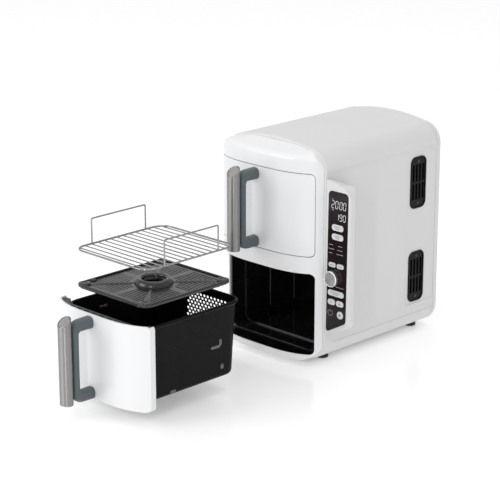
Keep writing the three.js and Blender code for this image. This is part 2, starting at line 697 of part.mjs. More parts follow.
// A wire along points that lie in one plane, mitred at each bend. The plane's normal gives the section's twist.
function wireRun(points, radius, normal, { closed = false, sides = 6 } = {}) {
  const count = points.length;
  const up = new THREE.Vector3(...normal);
  const places = points.map((p) => new THREE.Vector3(...p));
  const positions = [];
  places.forEach((place, i) => {
    const before = places[closed ? (i + count - 1) % count : Math.max(i - 1, 0)];
    const after = places[closed ? (i + 1) % count : Math.min(i + 1, count - 1)];
    const into = place.clone().sub(before).normalize();
    const out = after.clone().sub(place).normalize();
    if (into.lengthSq() === 0) into.copy(out);
    if (out.lengthSq() === 0) out.copy(into);
    const along = into.clone().add(out).normalize();
    const across = new THREE.Vector3().crossVectors(up, along).divideScalar(along.dot(into));
    for (let k = 0; k < sides; k += 1) {
      const angle = (Math.PI * 2 * (k + 0.5)) / sides;
      const point = place.clone()
        .addScaledVector(across, radius * Math.cos(angle))
        .addScaledVector(up, radius * Math.sin(angle));
      positions.push(...point.toArray());
    }
  });
  const index = [];
  for (let i = 0; i < (closed ? count : count - 1); i += 1) {
    for (let k = 0; k < sides; k += 1) {
      const a = i * sides + k;
      const b = i * sides + ((k + 1) % sides);
      const c = ((i + 1) % count) * sides + ((k + 1) % sides);
      const d = ((i + 1) % count) * sides + k;
      index.push(a, b, c, a, c, d);
    }
  }
  if (!closed) {
    const last = (count - 1) * sides;
    for (let k = 1; k < sides - 1; k += 1) {
      index.push(0, k + 1, k, last, last + k, last + k + 1);
    }
  }
  const geometry = new THREE.BufferGeometry();
  geometry.setAttribute('position', new THREE.Float32BufferAttribute(positions, 3));
  geometry.setIndex(index);
  return solid(geometry);
}

// The rack at z = 0: a rounded outer wire, cross wires just under it and a U handle on each side.
function rackPart() {
  const outline = roundedRect(RACK.left, RACK.front, RACK.right, RACK.rear, RACK.radius);
  const loop = outline.extractPoints(3).shape.slice(0, -1).map((p) => [p.x, p.y, 0]);
  let rack = wireRun(loop, RACK.wire, [0, 0, 1], { closed: true });
  for (let i = 0; i < RACK.wires; i += 1) {
    const y = RACK.front + 9 + ((RACK.rear - RACK.front - 18) * i) / (RACK.wires - 1);
    rack = rack.add(wireRun([[RACK.left, y, 0], [RACK.right, y, 0]], 1.4, [0, 0, 1], { sides: 4 }));
  }
  const middle = (RACK.front + RACK.rear) / 2;
  for (const x of [RACK.left, RACK.right]) {
    const posts = [
      [x, middle - 58, 0],
      [x, middle - 58, 34],
      [x, middle - 50, 42],
      [x, middle + 50, 42],
      [x, middle + 58, 34],
      [x, middle + 58, 0],
    ];
    rack = rack.add(wireRun(posts, 1.6, [1, 0, 0]));
  }
  return rack;
}

function addRack() {
  const lifted = new THREE.Group();
  lifted.position.set(0, -LOWER_TRAVEL, RACK.z);
  drawing.add(lifted);
  add('meal_rack', rackPart(), CHROME, lifted);
}

// ---------------------------------------------------------------- control console
const KEYS = [
  { name: 'button_zone_upper', x: 114.5, z: 252, w: 25, h: 10.6 },
  { name: 'button_zone_lower', x: 114.5, z: 236, w: 25, h: 10.6 },
  { name: 'button_temp_time', x: 103.4, z: 186.5, w: 15, h: 8 },
  { name: 'button_mode', x: 121.3, z: 186.5, w: 15, h: 8 },
  { name: 'button_sync', x: 112.2, z: 137.5, w: 35, h: 10 },
  { name: 'button_minus', x: 102.8, z: 121.3, w: 16, h: 10 },
  { name: 'button_plus', x: 121.4, z: 121.3, w: 16, h: 10 },
  { name: 'button_start', x: 122.4, z: 101.8, w: 13, h: 13 },
];
const DIAL = { x: 105.5, z: 163.2, radius: 14, proud: 9 };

const keyOutline = ({ x, z, w, h }, grow) =>
  roundedRect(x - w / 2 - grow, z - h / 2 - grow, x + w / 2 + grow, z + h / 2 + grow, Math.min(w, h) / 2 - 0.5);

// The glass's outline. Its lower edge slopes up to the right.
function panelOutline(grow) {
  const left = PANEL.left - grow;
  const right = PANEL.right + grow;
  const r = 8;
  const shape = new THREE.Shape();
  shape.moveTo(left + 5, PANEL.lowLeft - grow);
  shape.lineTo(right - r, PANEL.lowRight - grow - 4);
  shape.quadraticCurveTo(right, PANEL.lowRight - grow, right, PANEL.lowRight - grow + 8);
  shape.absarc(right - r, PANEL.top + grow - r, r, 0, Math.PI / 2, false);
  shape.absarc(left + r, PANEL.top + grow - r, r, Math.PI / 2, Math.PI, false);
  shape.lineTo(left, PANEL.lowLeft - grow + 10);
  shape.quadraticCurveTo(left, PANEL.lowLeft - grow, left + 5, PANEL.lowLeft - grow);
  return shape;
}

// The panel's outline pulled from y0 back to y1, leaning slightly outwards towards its top.
function panelPrism(grow, y0, y1) {
  const lean = new THREE.Matrix4().makeShear(0, 0, 0, 0, PANEL.lean, 0);
  return solid(alongY(panelOutline(grow), y0, y1).applyMatrix4(lean).translate(-PANEL.lean * PANEL.pivot, 0, 0));
}

function consolePlan(inset) {
  const { left, right, front, edge, rear } = CONSOLE;
  const shape = new THREE.Shape();
  shape.moveTo(left - (inset ? 1 : 0), front + inset);
  shape.lineTo(right - 4 - inset, front + inset);
  shape.quadraticCurveTo(right - inset, front + inset, right - inset, front + 5 + inset);
  shape.quadraticCurveTo(right - inset, edge - inset, right - 8 - inset, edge + 8 - inset);
  shape.lineTo(left - (inset ? 1 : 0), rear - inset * 2);
  return shape;
}

function consoleElevation(inset) {
  const { left, right, low, high } = CONSOLE;
  const shape = new THREE.Shape();
  shape.moveTo(left - 2, low + inset);
  shape.quadraticCurveTo(right - 8, low + 12 + inset, right - inset, low + 34 + inset);
  shape.lineTo(right - inset, high - 24 - inset);
  shape.quadraticCurveTo(right - inset, high - 10 - inset, right - 16, high - 8 - inset);
  shape.quadraticCurveTo(left + 14, high - inset, left - 2, high - inset);
  return shape;
}

function addConsole() {
  const { front } = CONSOLE;
  let pod = solid(alongZ(consolePlan(0), 0, 400)).intersect(solid(alongY(consoleElevation(0), 0, 100)));
  const inside = solid(alongZ(consolePlan(2.5), 0, 400)).intersect(solid(alongY(consoleElevation(2.5), 0, 100)));
  pod = pod.subtract(inside.subtract(solidBox(0, 0, 0, 200, front + PANEL.thick + 3, 400)));
  pod = pod
    .subtract(panelPrism(GAP, front - 1, front + PANEL.thick + GAP))
    .subtract(panelPrism(-2.5, front - 1, front + 12));
  let glass = panelPrism(0, front - 0.4, front + PANEL.thick);
  for (const key of KEYS) {
    glass = glass.subtract(solid(alongY(keyOutline(key, GAP), front - 5, front + 12, 2)));
  }
  glass = glass.subtract(solid(rodAlongY(DIAL.x, DIAL.z, 4.3, front - 5, front + 12, 12)));
  add('control_console', pod, SATIN_WHITE);
  add('control_panel_glass', glass, GLASS_BLACK);

  for (const key of KEYS) {
    add(key.name, alongY(keyOutline(key, 0), front - 1.6, front + 5, 2), KEY_GREY);
  }
  const knob = solid(rodAlongY(DIAL.x, DIAL.z, DIAL.radius, front - DIAL.proud, front - 1, 32));
  const shaft = solid(rodAlongY(DIAL.x, DIAL.z, 4, front - 2, front + 7, 12));
  add('control_dial', knob.add(shaft), BRUSHED_STEEL);
  add('control_board', box(PANEL.left + 1, front + 8.5, 110, PANEL.right - 10, front + 10.1, 300), BOARD_GREEN);
}

// ---------------------------------------------------------------- assembly
addHousing();
addBezel();
addBasePan();
addRearCover();
addScrews();
addGland();
addFeet();
addSideVents();
for (const [level, zoneZ] of Object.entries(ZONES)) {
  addLiner(level, zoneZ);
  addFanGroup(level, zoneZ);
}
addDrawer('upper', ZONES.upper, 0);
addDrawer('lower', ZONES.lower, LOWER_TRAVEL);
addPlates();
addRack();
addConsole();

// The footprint's middle becomes the origin.
const bounds = new THREE.Box3().setFromObject(drawing);
drawing.position.x = -(bounds.min.x + bounds.max.x) / 2;
drawing.position.y = -(bounds.min.y + bounds.max.y) / 2;
fryer.updateMatrixWorld(true);

export default fryer;
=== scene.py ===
"""A stacked two-drawer air fryer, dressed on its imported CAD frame.

Outlines are in millimetres in the CAD drawing frame: X across the front, -Y out of the drawers, +Z up, Y = 0
on the plane of the drawer seams. mesh_object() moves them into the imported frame, in metres.
"""

import json
import math

import bmesh
import bpy
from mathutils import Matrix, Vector


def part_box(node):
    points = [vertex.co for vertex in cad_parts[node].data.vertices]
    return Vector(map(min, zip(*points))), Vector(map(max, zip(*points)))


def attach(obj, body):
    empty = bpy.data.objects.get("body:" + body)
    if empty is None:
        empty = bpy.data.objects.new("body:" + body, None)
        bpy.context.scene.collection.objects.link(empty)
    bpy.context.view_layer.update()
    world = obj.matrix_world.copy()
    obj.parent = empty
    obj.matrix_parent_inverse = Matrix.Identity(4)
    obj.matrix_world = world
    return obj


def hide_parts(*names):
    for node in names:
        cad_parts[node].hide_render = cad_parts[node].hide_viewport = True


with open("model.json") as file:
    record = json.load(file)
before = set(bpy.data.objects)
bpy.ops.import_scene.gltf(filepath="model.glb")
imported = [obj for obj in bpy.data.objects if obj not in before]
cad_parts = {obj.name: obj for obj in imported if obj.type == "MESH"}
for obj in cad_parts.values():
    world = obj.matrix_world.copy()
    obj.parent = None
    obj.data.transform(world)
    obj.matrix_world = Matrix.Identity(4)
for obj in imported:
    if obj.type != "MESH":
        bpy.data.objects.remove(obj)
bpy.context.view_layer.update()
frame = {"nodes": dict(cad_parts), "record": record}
NODES = frame["nodes"]
MM = 0.001

# ------------------------------------------------------------------ dimensions, mm
LEFT, RIGHT = -142, 88
MID_X = (LEFT + RIGHT) / 2
REAR = 306
BASE_Z, SHOULDER_Z, ROOF_CROWN = 9, 376, 8
EDGE_RADIUS = 36
WALL = 5.5
HOUSING_FRONT = 6
COVER_DEPTH = 9
GAP = 0.3
SEAM = 1.2

BEZEL_INSET = 2.5
BEZEL_BACK = 5.7
BOW, BOW_END, BOW_POWER = 35, 6, 3.5
CAP_EDGE_Z, CAP_SLOPE, CAP_ROUND = 366, 0.36, 8
SKIN = 3
CHEEK = (9, 4.5)  # rounding of the front into the sides, across and deep

ZONES = {"upper": 194.8, "lower": 22}  # the height of each drawer's opening
FRONT_H = 144
FRONT_RIGHT = 76
FRONT_BACK = 4.5
SEAM_RADIUS = 9
DRAWER_X = -34

CAVITY = {"left": -129.5, "right": 67.5, "floor": 4.5, "top": 140, "rear": 262, "low_r": 14, "top_r": 4}
MOUTH_DEPTH, MOUTH_STEP, LINER_WALL = 40, 2.5, 1.6
RIB_Y = (101, 163)
LINER_FLANGE = {"left": -136, "margin": 2, "right_margin": 6, "radius": 12, "thick": 3}
FAN_X, FAN_Z = MID_X, 72

BASKET = {"left": -127, "right": 65, "front": -10, "rear": 209, "rim": 137, "floor": 7, "radius": 24}
SHEET = 1.4
AIR_HOLES = {"x": -13.5, "height": 96, "columns": 12, "rows": 10, "pitch_x": 8.2, "pitch_z": 5.6}
AIR_HOLE = {"half_wide": 2.95, "half_high": 2.2, "radius": 2.15}
BAR = {"x": -41, "y": -80, "half_x": 12, "half_y": 10, "low": 4.5, "high": 149, "slope": 0.725, "wall": 1.6}
PLATE = {"left": -115, "right": 53, "front": 3, "rear": 196, "thick": 2.5, "radius": 20}
PLATE_X = (PLATE["left"] + PLATE["right"]) / 2
PLATE_Y = (PLATE["front"] + PLATE["rear"]) / 2
RING = {"radius": 32, "hole": 19.5, "height": 8}
RACK = {"left": -117, "right": 55, "front": 6, "rear": 199, "radius": 22, "wires": 14, "end_gap": 9}
RACK_GRIP = {"half": 58, "high": 42, "radius": 3}
RACK_WIRE = {"in_cad": 1.9, "frame": 1.6, "cross": 1.1, "grip": 1.4}  # radii
CONSOLE = {"left": RIGHT + GAP, "right": 141, "front": 8, "edge": 19, "rear": 72, "low": 60, "high": 330}
PANEL = {"left": 92, "right": 135.3, "top": 313, "low_left": 68, "low_right": 89, "thick": 1.6}
PANEL_LEAN, PANEL_PIVOT = 0.0125, 190

CAMERA_AT = (2.0493, -2.078, 1.1013)
CAMERA_TURN = (72.97, 0, 44.71)
CAMERA_LENS = 131.9
SMOOTH_ANGLE = 32

# Where the drawing frame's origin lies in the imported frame, and how far the lower drawer stands out.
housing_low, housing_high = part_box("housing_shell")
SHIFT = Vector(((housing_low.x + housing_high.x) / 2 - MID_X * MM, housing_low.y - HOUSING_FRONT * MM, 0))
OUT_LOWER = (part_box("drawer_front_lower")[0].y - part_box("drawer_front_upper")[0].y) / MM
DRAWER_OUT = {"upper": 0, "lower": OUT_LOWER}


# ------------------------------------------------------------------ outlines, two axes in mm
def arc(cx, cy, radius, start, end, steps=10, radius_2=None):
    second = radius if radius_2 is None else radius_2
    turns = [math.radians(start + (end - start) * i / steps) for i in range(steps + 1)]
    return [(cx + radius * math.cos(t), cy + second * math.sin(t)) for t in turns]


def oval(cx, cy, rx, ry, steps=48):
    return arc(cx, cy, rx, 0, 360, steps, ry)[:-1]


def rounded(x0, y0, x1, y1, radius, top=None, steps=10):
    """A rectangle with rounded corners; top gives the upper pair their own radius."""
    high = radius if top is None else top
    return (
        arc(x1 - radius, y0 + radius, radius, -90, 0, steps)
        + arc(x1 - high, y1 - high, high, 0, 90, steps)
        + arc(x0 + high, y1 - high, high, 90, 180, steps)
        + arc(x0 + radius, y0 + radius, radius, 180, 270, steps)
    )


def cabinet_section(inset, steps=24):
    left, right = LEFT + inset, RIGHT - inset
    base, shoulder = BASE_Z + inset, SHOULDER_Z - inset
    r = EDGE_RADIUS - inset
    crown = []
    for i in range(1, steps):
        t = i / steps
        crown.append((right - r + (left - right + 2 * r) * t, shoulder + 4 * ROOF_CROWN * t * (1 - t)))
    return (
        arc(right - r, base + r, r, -90, 0, steps)
        + arc(right - r, shoulder - r, r, 0, 90, steps)
        + crown
        + arc(left + r, shoulder - r, r, 90, 180, steps)
        + arc(left + r, base + r, r, 180, 270, steps)
    )


def bow_at(x):
    t = abs((x - DRAWER_X) / (RIGHT - DRAWER_X))
    return BOW_END - BOW * (1 - t**BOW_POWER)


def front_plan(inset, steps=72):
    """The bowed front seen from above, with its ends rounded into the sides."""
    across, deep = CHEEK
    half = (RIGHT - LEFT) / 2 - BEZEL_INSET - inset
    points = [(MID_X + half + 1, 70), (MID_X - half - 1, 70)]
    for i in range(steps + 1):
        x = MID_X - half * math.cos(math.pi * i / steps)
        past = min(1, max(0, (abs(x - MID_X) - half + across) / across))
        points.append((x, bow_at(x) + inset + deep * (1 - math.sqrt(1 - past**2))))
    return points


def cavity_outline(zone, grow):
    return rounded(
        CAVITY["left"] - grow,
        zone + CAVITY["floor"] - grow,
        CAVITY["right"] + grow,
        zone + CAVITY["top"] + grow,
        CAVITY["low_r"] + grow,
        CAVITY["top_r"] + grow,
    )


# ------------------------------------------------------------------ mesh building
def mesh_object(name, points, faces, out=0.0):
    """A mesh from drawing-frame points in mm; out moves it along Y with its drawer."""
    mesh = bpy.data.meshes.new(name)
    mesh.from_pydata([Vector((x, y + out, z)) * MM + SHIFT for x, y, z in points], [], faces)
    built = bmesh.new()
    built.from_mesh(mesh)
    bmesh.ops.recalc_face_normals(built, faces=built.faces)
    built.to_mesh(mesh)
    built.free()
    obj = bpy.data.objects.new(name, mesh)
    bpy.context.scene.collection.objects.link(obj)
    return obj


PLACE = {
    "x": lambda a, b, h: (h, a, b),
    "y": lambda a, b, h: (a, h, b),
    "z": lambda a, b, h: (a, b, h),
}


def prism(name, outline, low, high, along, out=0.0):
    """An outline pulled along one axis. The outline's two axes are the other two, in X, Y, Z order."""
    place = PLACE[along]
    count = len(outline)
    points = [place(a, b, h) for h in (low, high) for a, b in outline]
    faces = [tuple(range(count)), tuple(range(count, 2 * count))]
    for i in range(count):
        j = (i + 1) % count
        faces.append((i, j, count + j, count + i))
    return mesh_object(name, points, faces, out)


def loft(name, rings, out=0.0, closed=False):
    """A skin through rings of 3-D points; the ends are capped unless the run of rings is closed."""
    count = len(rings[0])
    points = [p for ring in rings for p in ring]
    faces = []
    runs = len(rings) if closed else len(rings) - 1
    for level in range(runs):
        for i in range(count):
            j = (i + 1) % count
            above = ((level + 1) % len(rings)) * count
            faces.append((level * count + i, level * count + j, above + j, above + i))
    if not closed:
        faces.append(tuple(range(count)))
        faces.append(tuple(range((len(rings) - 1) * count, len(rings) * count)))
    return mesh_object(name, points, faces, out)


def block(x0, y0, z0, x1, y1, z1, out=0.0):
    return prism("tool", [(x0, y0), (x1, y0), (x1, y1), (x0, y1)], z0, z1, "z", out)


def merged(parts, name="tool"):
    """Several separate closed meshes as one object."""
    mesh = bpy.data.meshes.new(name)
    built = bmesh.new()
    for part in parts:
        built.from_mesh(part.data)
        discard(part)
    built.to_mesh(mesh)
    built.free()
    obj = bpy.data.objects.new(name, mesh)
    bpy.context.scene.collection.objects.link(obj)
    return obj


def discard(obj):
    mesh = obj.data
    bpy.data.objects.remove(obj)
    bpy.data.meshes.remove(mesh)


def settle(obj):
    """Turns an object's modifiers into plain mesh."""
    bpy.context.view_layer.update()
    graph = bpy.context.evaluated_depsgraph_get()
    baked = bpy.data.meshes.new_from_object(obj.evaluated_get(graph))
    obj.modifiers.clear()
    old = obj.data
    obj.data = baked
    bpy.data.meshes.remove(old)
    return obj


def combine(obj, operation, *tools):
    for tool in tools:
        modifier = obj.modifiers.new("combine", "BOOLEAN")
        modifier.operation = operation
        modifier.solver = "MANIFOLD"
        modifier.object = tool
    settle(obj)
    for tool in tools:
        discard(tool)
    return obj


def clean(obj, angle=0.4):
    """Joins what booleans left split: double points and flat faces cut in pieces."""
    built = bmesh.new()
    built.from_mesh(obj.data)
    bmesh.ops.remove_doubles(built, verts=built.verts, dist=0.02 * MM)
    bmesh.ops.dissolve_limit(
        built, angle_limit=math.radians(angle), verts=built.verts, edges=built.edges, delimit={"NORMAL"}
    )
    built.to_mesh(obj.data)
    built.free()
    return obj


def bevel(obj, width, segments, angle):
    modifier = obj.modifiers.new("edge", "BEVEL")
    modifier.width = width * MM
    modifier.segments = segments
    modifier.limit_method = "ANGLE"
    modifier.angle_limit = math.radians(angle)
    return modifier


def soften(obj, width, segments=2, angle=35):
    """Rounds every edge sharper than the angle."""
    clean(obj)
    bevel(obj, width, segments, angle).miter_outer = "MITER_ARC"
    return settle(obj)


def smooth(obj, angle=SMOOTH_ANGLE):
    obj.data.shade_smooth()
    obj.data.set_sharp_from_angle(angle=math.radians(angle))
    modifier = obj.modifiers.new("normals", "WEIGHTED_NORMAL")
    modifier.keep_sharp = True
    modifier.weight = 60
    return settle(obj)


def duplicate(obj, name):
    copy = bpy.data.objects.new(name, obj.data.copy())
    bpy.context.scene.collection.objects.link(copy)
    return copy


def refined(node, width=0.4, segments=2, angle=35):
    """A copy of a CAD node with its edges rounded."""
    obj = duplicate(NODES[node], node + "_fine")
    return soften(clean(obj, 1.0), width, segments, angle)


def finish_piece(obj, name, body, slot, *nodes, angle=SMOOTH_ANGLE):
    """Names a piece, gives it its material and ties it to its CAD body and nodes."""
    smooth(obj, angle)
    obj.name = name
    obj.data.name = name
    obj.data.materials.clear()
    obj.data.materials.append(MATERIALS[slot])
    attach(obj, body)
    if nodes:
        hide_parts(*nodes)
    return obj


# ------------------------------------------------------------------ materials
def new_material(name, colour, roughness, metallic=0.0, **sockets):
    material = bpy.data.materials.new(name)
    material.use_nodes = True
    shader = material.node_tree.nodes["Principled BSDF"]
    shader.inputs["Base Color"].default_value = (*colour, 1)
    shader.inputs["Roughness"].default_value = roughness
    shader.inputs["Metallic"].default_value = metallic
    for key, value in sockets.items():
        shader.inputs[key.replace("_", " ")].default_value = value
    return material, shader


def noise(material, scale, detail=3.0, stretch=(1, 1, 1)):
    """Noise over the object's own coordinates; scale is in features per metre."""
    nodes, links = material.node_tree.nodes, material.node_tree.links
    place = nodes.new("ShaderNodeTexCoord")
    mapping = nodes.new("ShaderNodeMapping")
    mapping.inputs["Scale"].default_value = stretch
    texture = nodes.new("ShaderNodeTexNoise")
    texture.inputs["Scale"].default_value = scale
    texture.inputs["Detail"].default_value = detail
    links.new(place.outputs["Object"], mapping.inputs["Vector"])
    links.new(mapping.outputs["Vector"], texture.inputs["Vector"])
    return texture.outputs["Fac"]


def spread(material, value, low, high, start=0.35, end=0.65):
    """Maps a 0 to 1 pattern to a range of values."""
    node = material.node_tree.nodes.new("ShaderNodeMapRange")
    node.inputs["From Min"].default_value = start
    node.inputs["From Max"].default_value = end
    node.inputs["To Min"].default_value = low
    node.inputs["To Max"].default_value = high
    material.node_tree.links.new(value, node.inputs["Value"])
    return node.outputs["Result"]


def tint(material, value, dark, light, start=0.35, end=0.65):
    """Maps a pattern to a blend of two colours."""
    ramp = material.node_tree.nodes.new("ShaderNodeValToRGB")
    ramp.color_ramp.elements[0].position = start
    ramp.color_ramp.elements[0].color = (*dark, 1)
    ramp.color_ramp.elements[1].position = end
    ramp.color_ramp.elements[1].color = (*light, 1)
    material.node_tree.links.new(value, ramp.inputs["Fac"])
    return ramp.outputs["Color"]


def bump(material, shader, height, strength, depth):
    """Raises the surface by a pattern; depth is in mm."""
    node = material.node_tree.nodes.new("ShaderNodeBump")
    node.inputs["Strength"].default_value = strength
    node.inputs["Distance"].default_value = depth * MM
    links = material.node_tree.links
    links.new(height, node.inputs["Height"])
    links.new(node.outputs["Normal"], shader.inputs["Normal"])


def drive(material, shader, **values):
    for key, value in values.items():
        material.node_tree.links.new(value, shader.inputs[key.replace("_", " ")])


def moulded(name, colour, roughness, grain, relief, **sockets):
    """Moulded plastic: a fine cavity texture, and broad patches that are slightly more or less glossy."""
    material, shader = new_material(name, colour, roughness, **sockets)
    handled = noise(material, 22, 4)
    drive(material, shader, Roughness=spread(material, handled, roughness * 0.94, roughness * 1.06))
    shade = tuple(c * 0.985 for c in colour)
    drive(material, shader, Base_Color=tint(material, noise(material, 9, 3), shade, colour))
    bump(material, shader, noise(material, grain, 2), relief, 0.03)
    return material


def non_stick():
    """Dark non-stick coat: fine orange peel with pale flecks and rubbed patches."""
    coat, fleck = (0.004, 0.0037, 0.0034), (0.009, 0.0087, 0.0084)
    material, shader = new_material("non_stick", coat, 0.26, Specular_IOR_Level=0.09)
    drive(material, shader, Base_Color=tint(material, noise(material, 1800, 2), coat, fleck, 0.6, 0.72))
    drive(material, shader, Roughness=spread(material, noise(material, 60, 5), 0.26, 0.46))
    bump(material, shader, noise(material, 900, 2), 0.18, 0.05)
    return material


def plate_coat():
    """The plate's coat is glossier than the basket's, so that its ribs and edges catch the light."""
    coat = (0.008, 0.0078, 0.0075)
    material, shader = new_material("plate_coat", coat, 0.24, Coat_Weight=0.45, Coat_Roughness=0.1)
    drive(material, shader, Roughness=spread(material, noise(material, 70, 5), 0.2, 0.36))
    bump(material, shader, noise(material, 1100, 2), 0.12, 0.05)
    return material


def enamel():
    """Glossy black enamelled sheet with faint wiped streaks."""
    coat = (0.009, 0.0088, 0.0085)
    material, shader = new_material("cavity_enamel", coat, 0.18, Coat_Weight=0.6, Coat_Roughness=0.08)
    drive(material, shader, Roughness=spread(material, noise(material, 35, 5, (1, 0.25, 1)), 0.15, 0.3))
    bump(material, shader, noise(material, 260, 2), 0.08, 0.05)
    return material


def radial_tangent(material, shader, axis):
    """Turns a stretched highlight round an axis."""
    tangent = material.node_tree.nodes.new("ShaderNodeTangent")
    tangent.direction_type = "RADIAL"
    tangent.axis = axis
    material.node_tree.links.new(tangent.outputs["Tangent"], shader.inputs["Tangent"])


def brushed():
    """Brushed steel: the grain runs round the Z axis and spreads highlights up and down."""
    colour = (0.34, 0.334, 0.328)
    material, shader = new_material(
        "brushed_steel", colour, 0.42, 1.0, Anisotropic=0.9, Anisotropic_Rotation=0.25
    )
    radial_tangent(material, shader, "Z")
    grain = noise(material, 3000, 2, (0.15, 0.15, 1))
    dark = tuple(c * 0.95 for c in colour)
    drive(material, shader, Base_Color=tint(material, grain, dark, colour))
    drive(material, shader, Roughness=spread(material, grain, 0.38, 0.46))
    return material


def spun():
    """Turned steel for the dial's face: rings round the dial's axis under a brushed sheen."""
    material, shader = new_material("spun_steel", (0.86, 0.85, 0.84), 0.36, 1.0, Anisotropic=0.6)
    radial_tangent(material, shader, "Y")
    drive(material, shader, Roughness=spread(material, noise(material, 700, 3), 0.3, 0.42))
    return material


def plated(name, colour, roughness):
    """Bright plating with a slight haze that comes and goes."""
    material, shader = new_material(name, colour, roughness, 1.0)
    haze = noise(material, 90, 4)
    drive(material, shader, Roughness=spread(material, haze, roughness * 0.7, roughness * 1.5))
    bump(material, shader, noise(material, 700, 2), 0.06, 0.03)
    return material


def panel_glass():
    """Black printed glass with finger smears in its gloss."""
    material, shader = new_material("panel_glass", (0.016, 0.011, 0.012), 0.1, Specular_IOR_Level=0.2)
    drive(material, shader, Roughness=spread(material, noise(material, 55, 6, (1, 1, 0.5)), 0.08, 0.22))
    return material


# A glowing finish: the display's digits are lit, while the glow on key caps and label bars is painted light.
def lit(name, colour, strength):
    material, shader = new_material(name, colour, 0.4)
    shader.inputs["Emission Color"].default_value = (*colour, 1)
    shader.inputs["Emission Strength"].default_value = strength
    drive(material, shader, Roughness=spread(material, noise(material, 300, 2), 0.35, 0.5))
    return material


def make_materials():
    white, cream = (0.79, 0.8, 0.81), (0.7, 0.7, 0.698)
    black, slate, grey = (0.003, 0.003, 0.0033), (0.1, 0.117, 0.126), (0.06, 0.068, 0.073)
    return {
        "gloss_white": moulded("gloss_white", white, 0.3, 420, 0.03, Coat_Weight=0.2, Coat_Roughness=0.14),
        "satin_white": moulded("satin_white", cream, 0.5, 2200, 0.12, Specular_IOR_Level=0.35),
        "black_plastic": moulded("black_plastic", black, 0.4, 1500, 0.15, Specular_IOR_Level=0.14),
        "black_gloss": moulded("black_gloss", (0.004, 0.004, 0.0042), 0.22, 1500, 0.05),
        "slate_plastic": moulded("slate_plastic", slate, 0.42, 2000, 0.14, Specular_IOR_Level=0.35),
        "grey_plastic": moulded("grey_plastic", grey, 0.42, 1800, 0.14, Specular_IOR_Level=0.3),
        "cavity_enamel": enamel(),
        "non_stick": non_stick(),
        "plate_coat": plate_coat(),
        "brushed_steel": brushed(),
        "spun_steel": spun(),
        "cap_metal": plated("cap_metal", (0.42, 0.41, 0.4), 0.42),
        "chrome": plated("chrome", (0.34, 0.335, 0.33), 0.18),
        # Painted highlight: ribs and bosses are a lighter grey metal than the black sheet they stand on.
        "painted_highlight_metal": plated("painted_highlight_metal", (0.16, 0.155, 0.15), 0.35),
        "vent_metal": plated("vent_metal", (0.08, 0.08, 0.08), 0.3),
        "panel_glass": panel_glass(),
        # Key caps and label bars glow a little as painted light; the display's digits glow as a lit display.
        "key_grey": lit("key_grey", (0.6, 0.6, 0.6), 0.08),
        "print_white": lit("print_white", (0.72, 0.74, 0.76), 0.45),
        "print_grey": lit("print_grey", (0.5, 0.5, 0.51), 0.12),
        "print_dark": moulded("print_dark", (0.1, 0.1, 0.105), 0.5, 1500, 0.05),
        "rubber": moulded("rubber", (0.016, 0.016, 0.017), 0.75, 1200, 0.3),
        "silicone": moulded("silicone", (0.02, 0.02, 0.022), 0.55, 900, 0.12),
        "motor_metal": plated("motor_metal", (0.45, 0.44, 0.42), 0.35),
        "circuit_board": moulded("circuit_board", (0.02, 0.11, 0.05), 0.5, 800, 0.1),
    }


# Finishes that only the looks know, and the record's slot that each belongs to.
MATERIALS = make_materials()


def dress_cad_nodes():
    """Every CAD node that stays in view gets its slot's procedural material."""
    for entry in frame["record"]["subparts"]:
        mesh = NODES[entry["node"]].data
        mesh.materials.clear()
        mesh.materials.append(MATERIALS[entry["material_slot"]])


# ------------------------------------------------------------------ cabinet
VENT_BAND = {"front": 214, "low": 56, "high": 336, "radius": 14, "depth": 3, "chamfer": 3}
VENTS = {"upper": (233, 326), "lower": (62, 154.5)}
VENT_Y = (227, 268)
VENT_MID_Y = (VENT_Y[0] + VENT_Y[1]) / 2
VENT_RADIUS = 12
VENT_SLOT = {"count": 4, "pitch": 8.5, "half": 2.4}
SIDE_CREASE_Z = 341
SIDE_STEP = 1.4
HAND_RECESS = [(-12, -2), (-0.5, 24), (3, 22), (26, 9.5), (26, -2)]  # in from the side, up
HAND_RECESS_Y = (100, 205)
SCREWS = [(LEFT + 22, 60), (RIGHT - 22, 60), (LEFT + 22, 330), (RIGHT - 22, 330)]
GLAND_AT = (LEFT + 44, 34)
LOUVRE = {"count": 8, "pitch": 11, "half_wide": 50, "half_high": 2.5, "radius": 2.4}


def vent_outline(low, high, grow):
    return rounded(VENT_Y[0] - grow, low - grow, VENT_Y[1] + grow, high + grow, VENT_RADIUS + grow)


def side_tool(outline, depth, side):
    """A cutter that goes in from one side of the cabinet to a depth."""
    span = (RIGHT - depth, RIGHT + 5) if side == "right" else (LEFT - 5, LEFT + depth)
    return prism("tool", outline, *span, "x")


def vent_band(side):
    """The shallow recess round the vents, with sloping walls."""
    depth, chamfer = VENT_BAND["depth"], VENT_BAND["chamfer"]
    face, inwards = (RIGHT, -1) if side == "right" else (LEFT, 1)
    rings = []
    for reach in (-1, 1):
        grow = -chamfer * reach
        low, high = VENT_BAND["low"] - grow, VENT_BAND["high"] + grow
        outline = rounded(VENT_BAND["front"] - grow, low, REAR + 40, high, VENT_BAND["radius"] + grow)
        rings.append([(face + inwards * depth * reach, y, z) for y, z in outline])
    return loft("tool", rings)


def hand_recesses():
    """A shallow scoop along each lower side edge, to lift the fryer by."""
    tools = []
    for face, inwards in ((RIGHT, -1), (LEFT, 1)):
        outline = [(face + inwards * reach, z) for reach, z in HAND_RECESS]
        tools.append(prism("tool", outline, *HAND_RECESS_Y, "y"))
    return tools


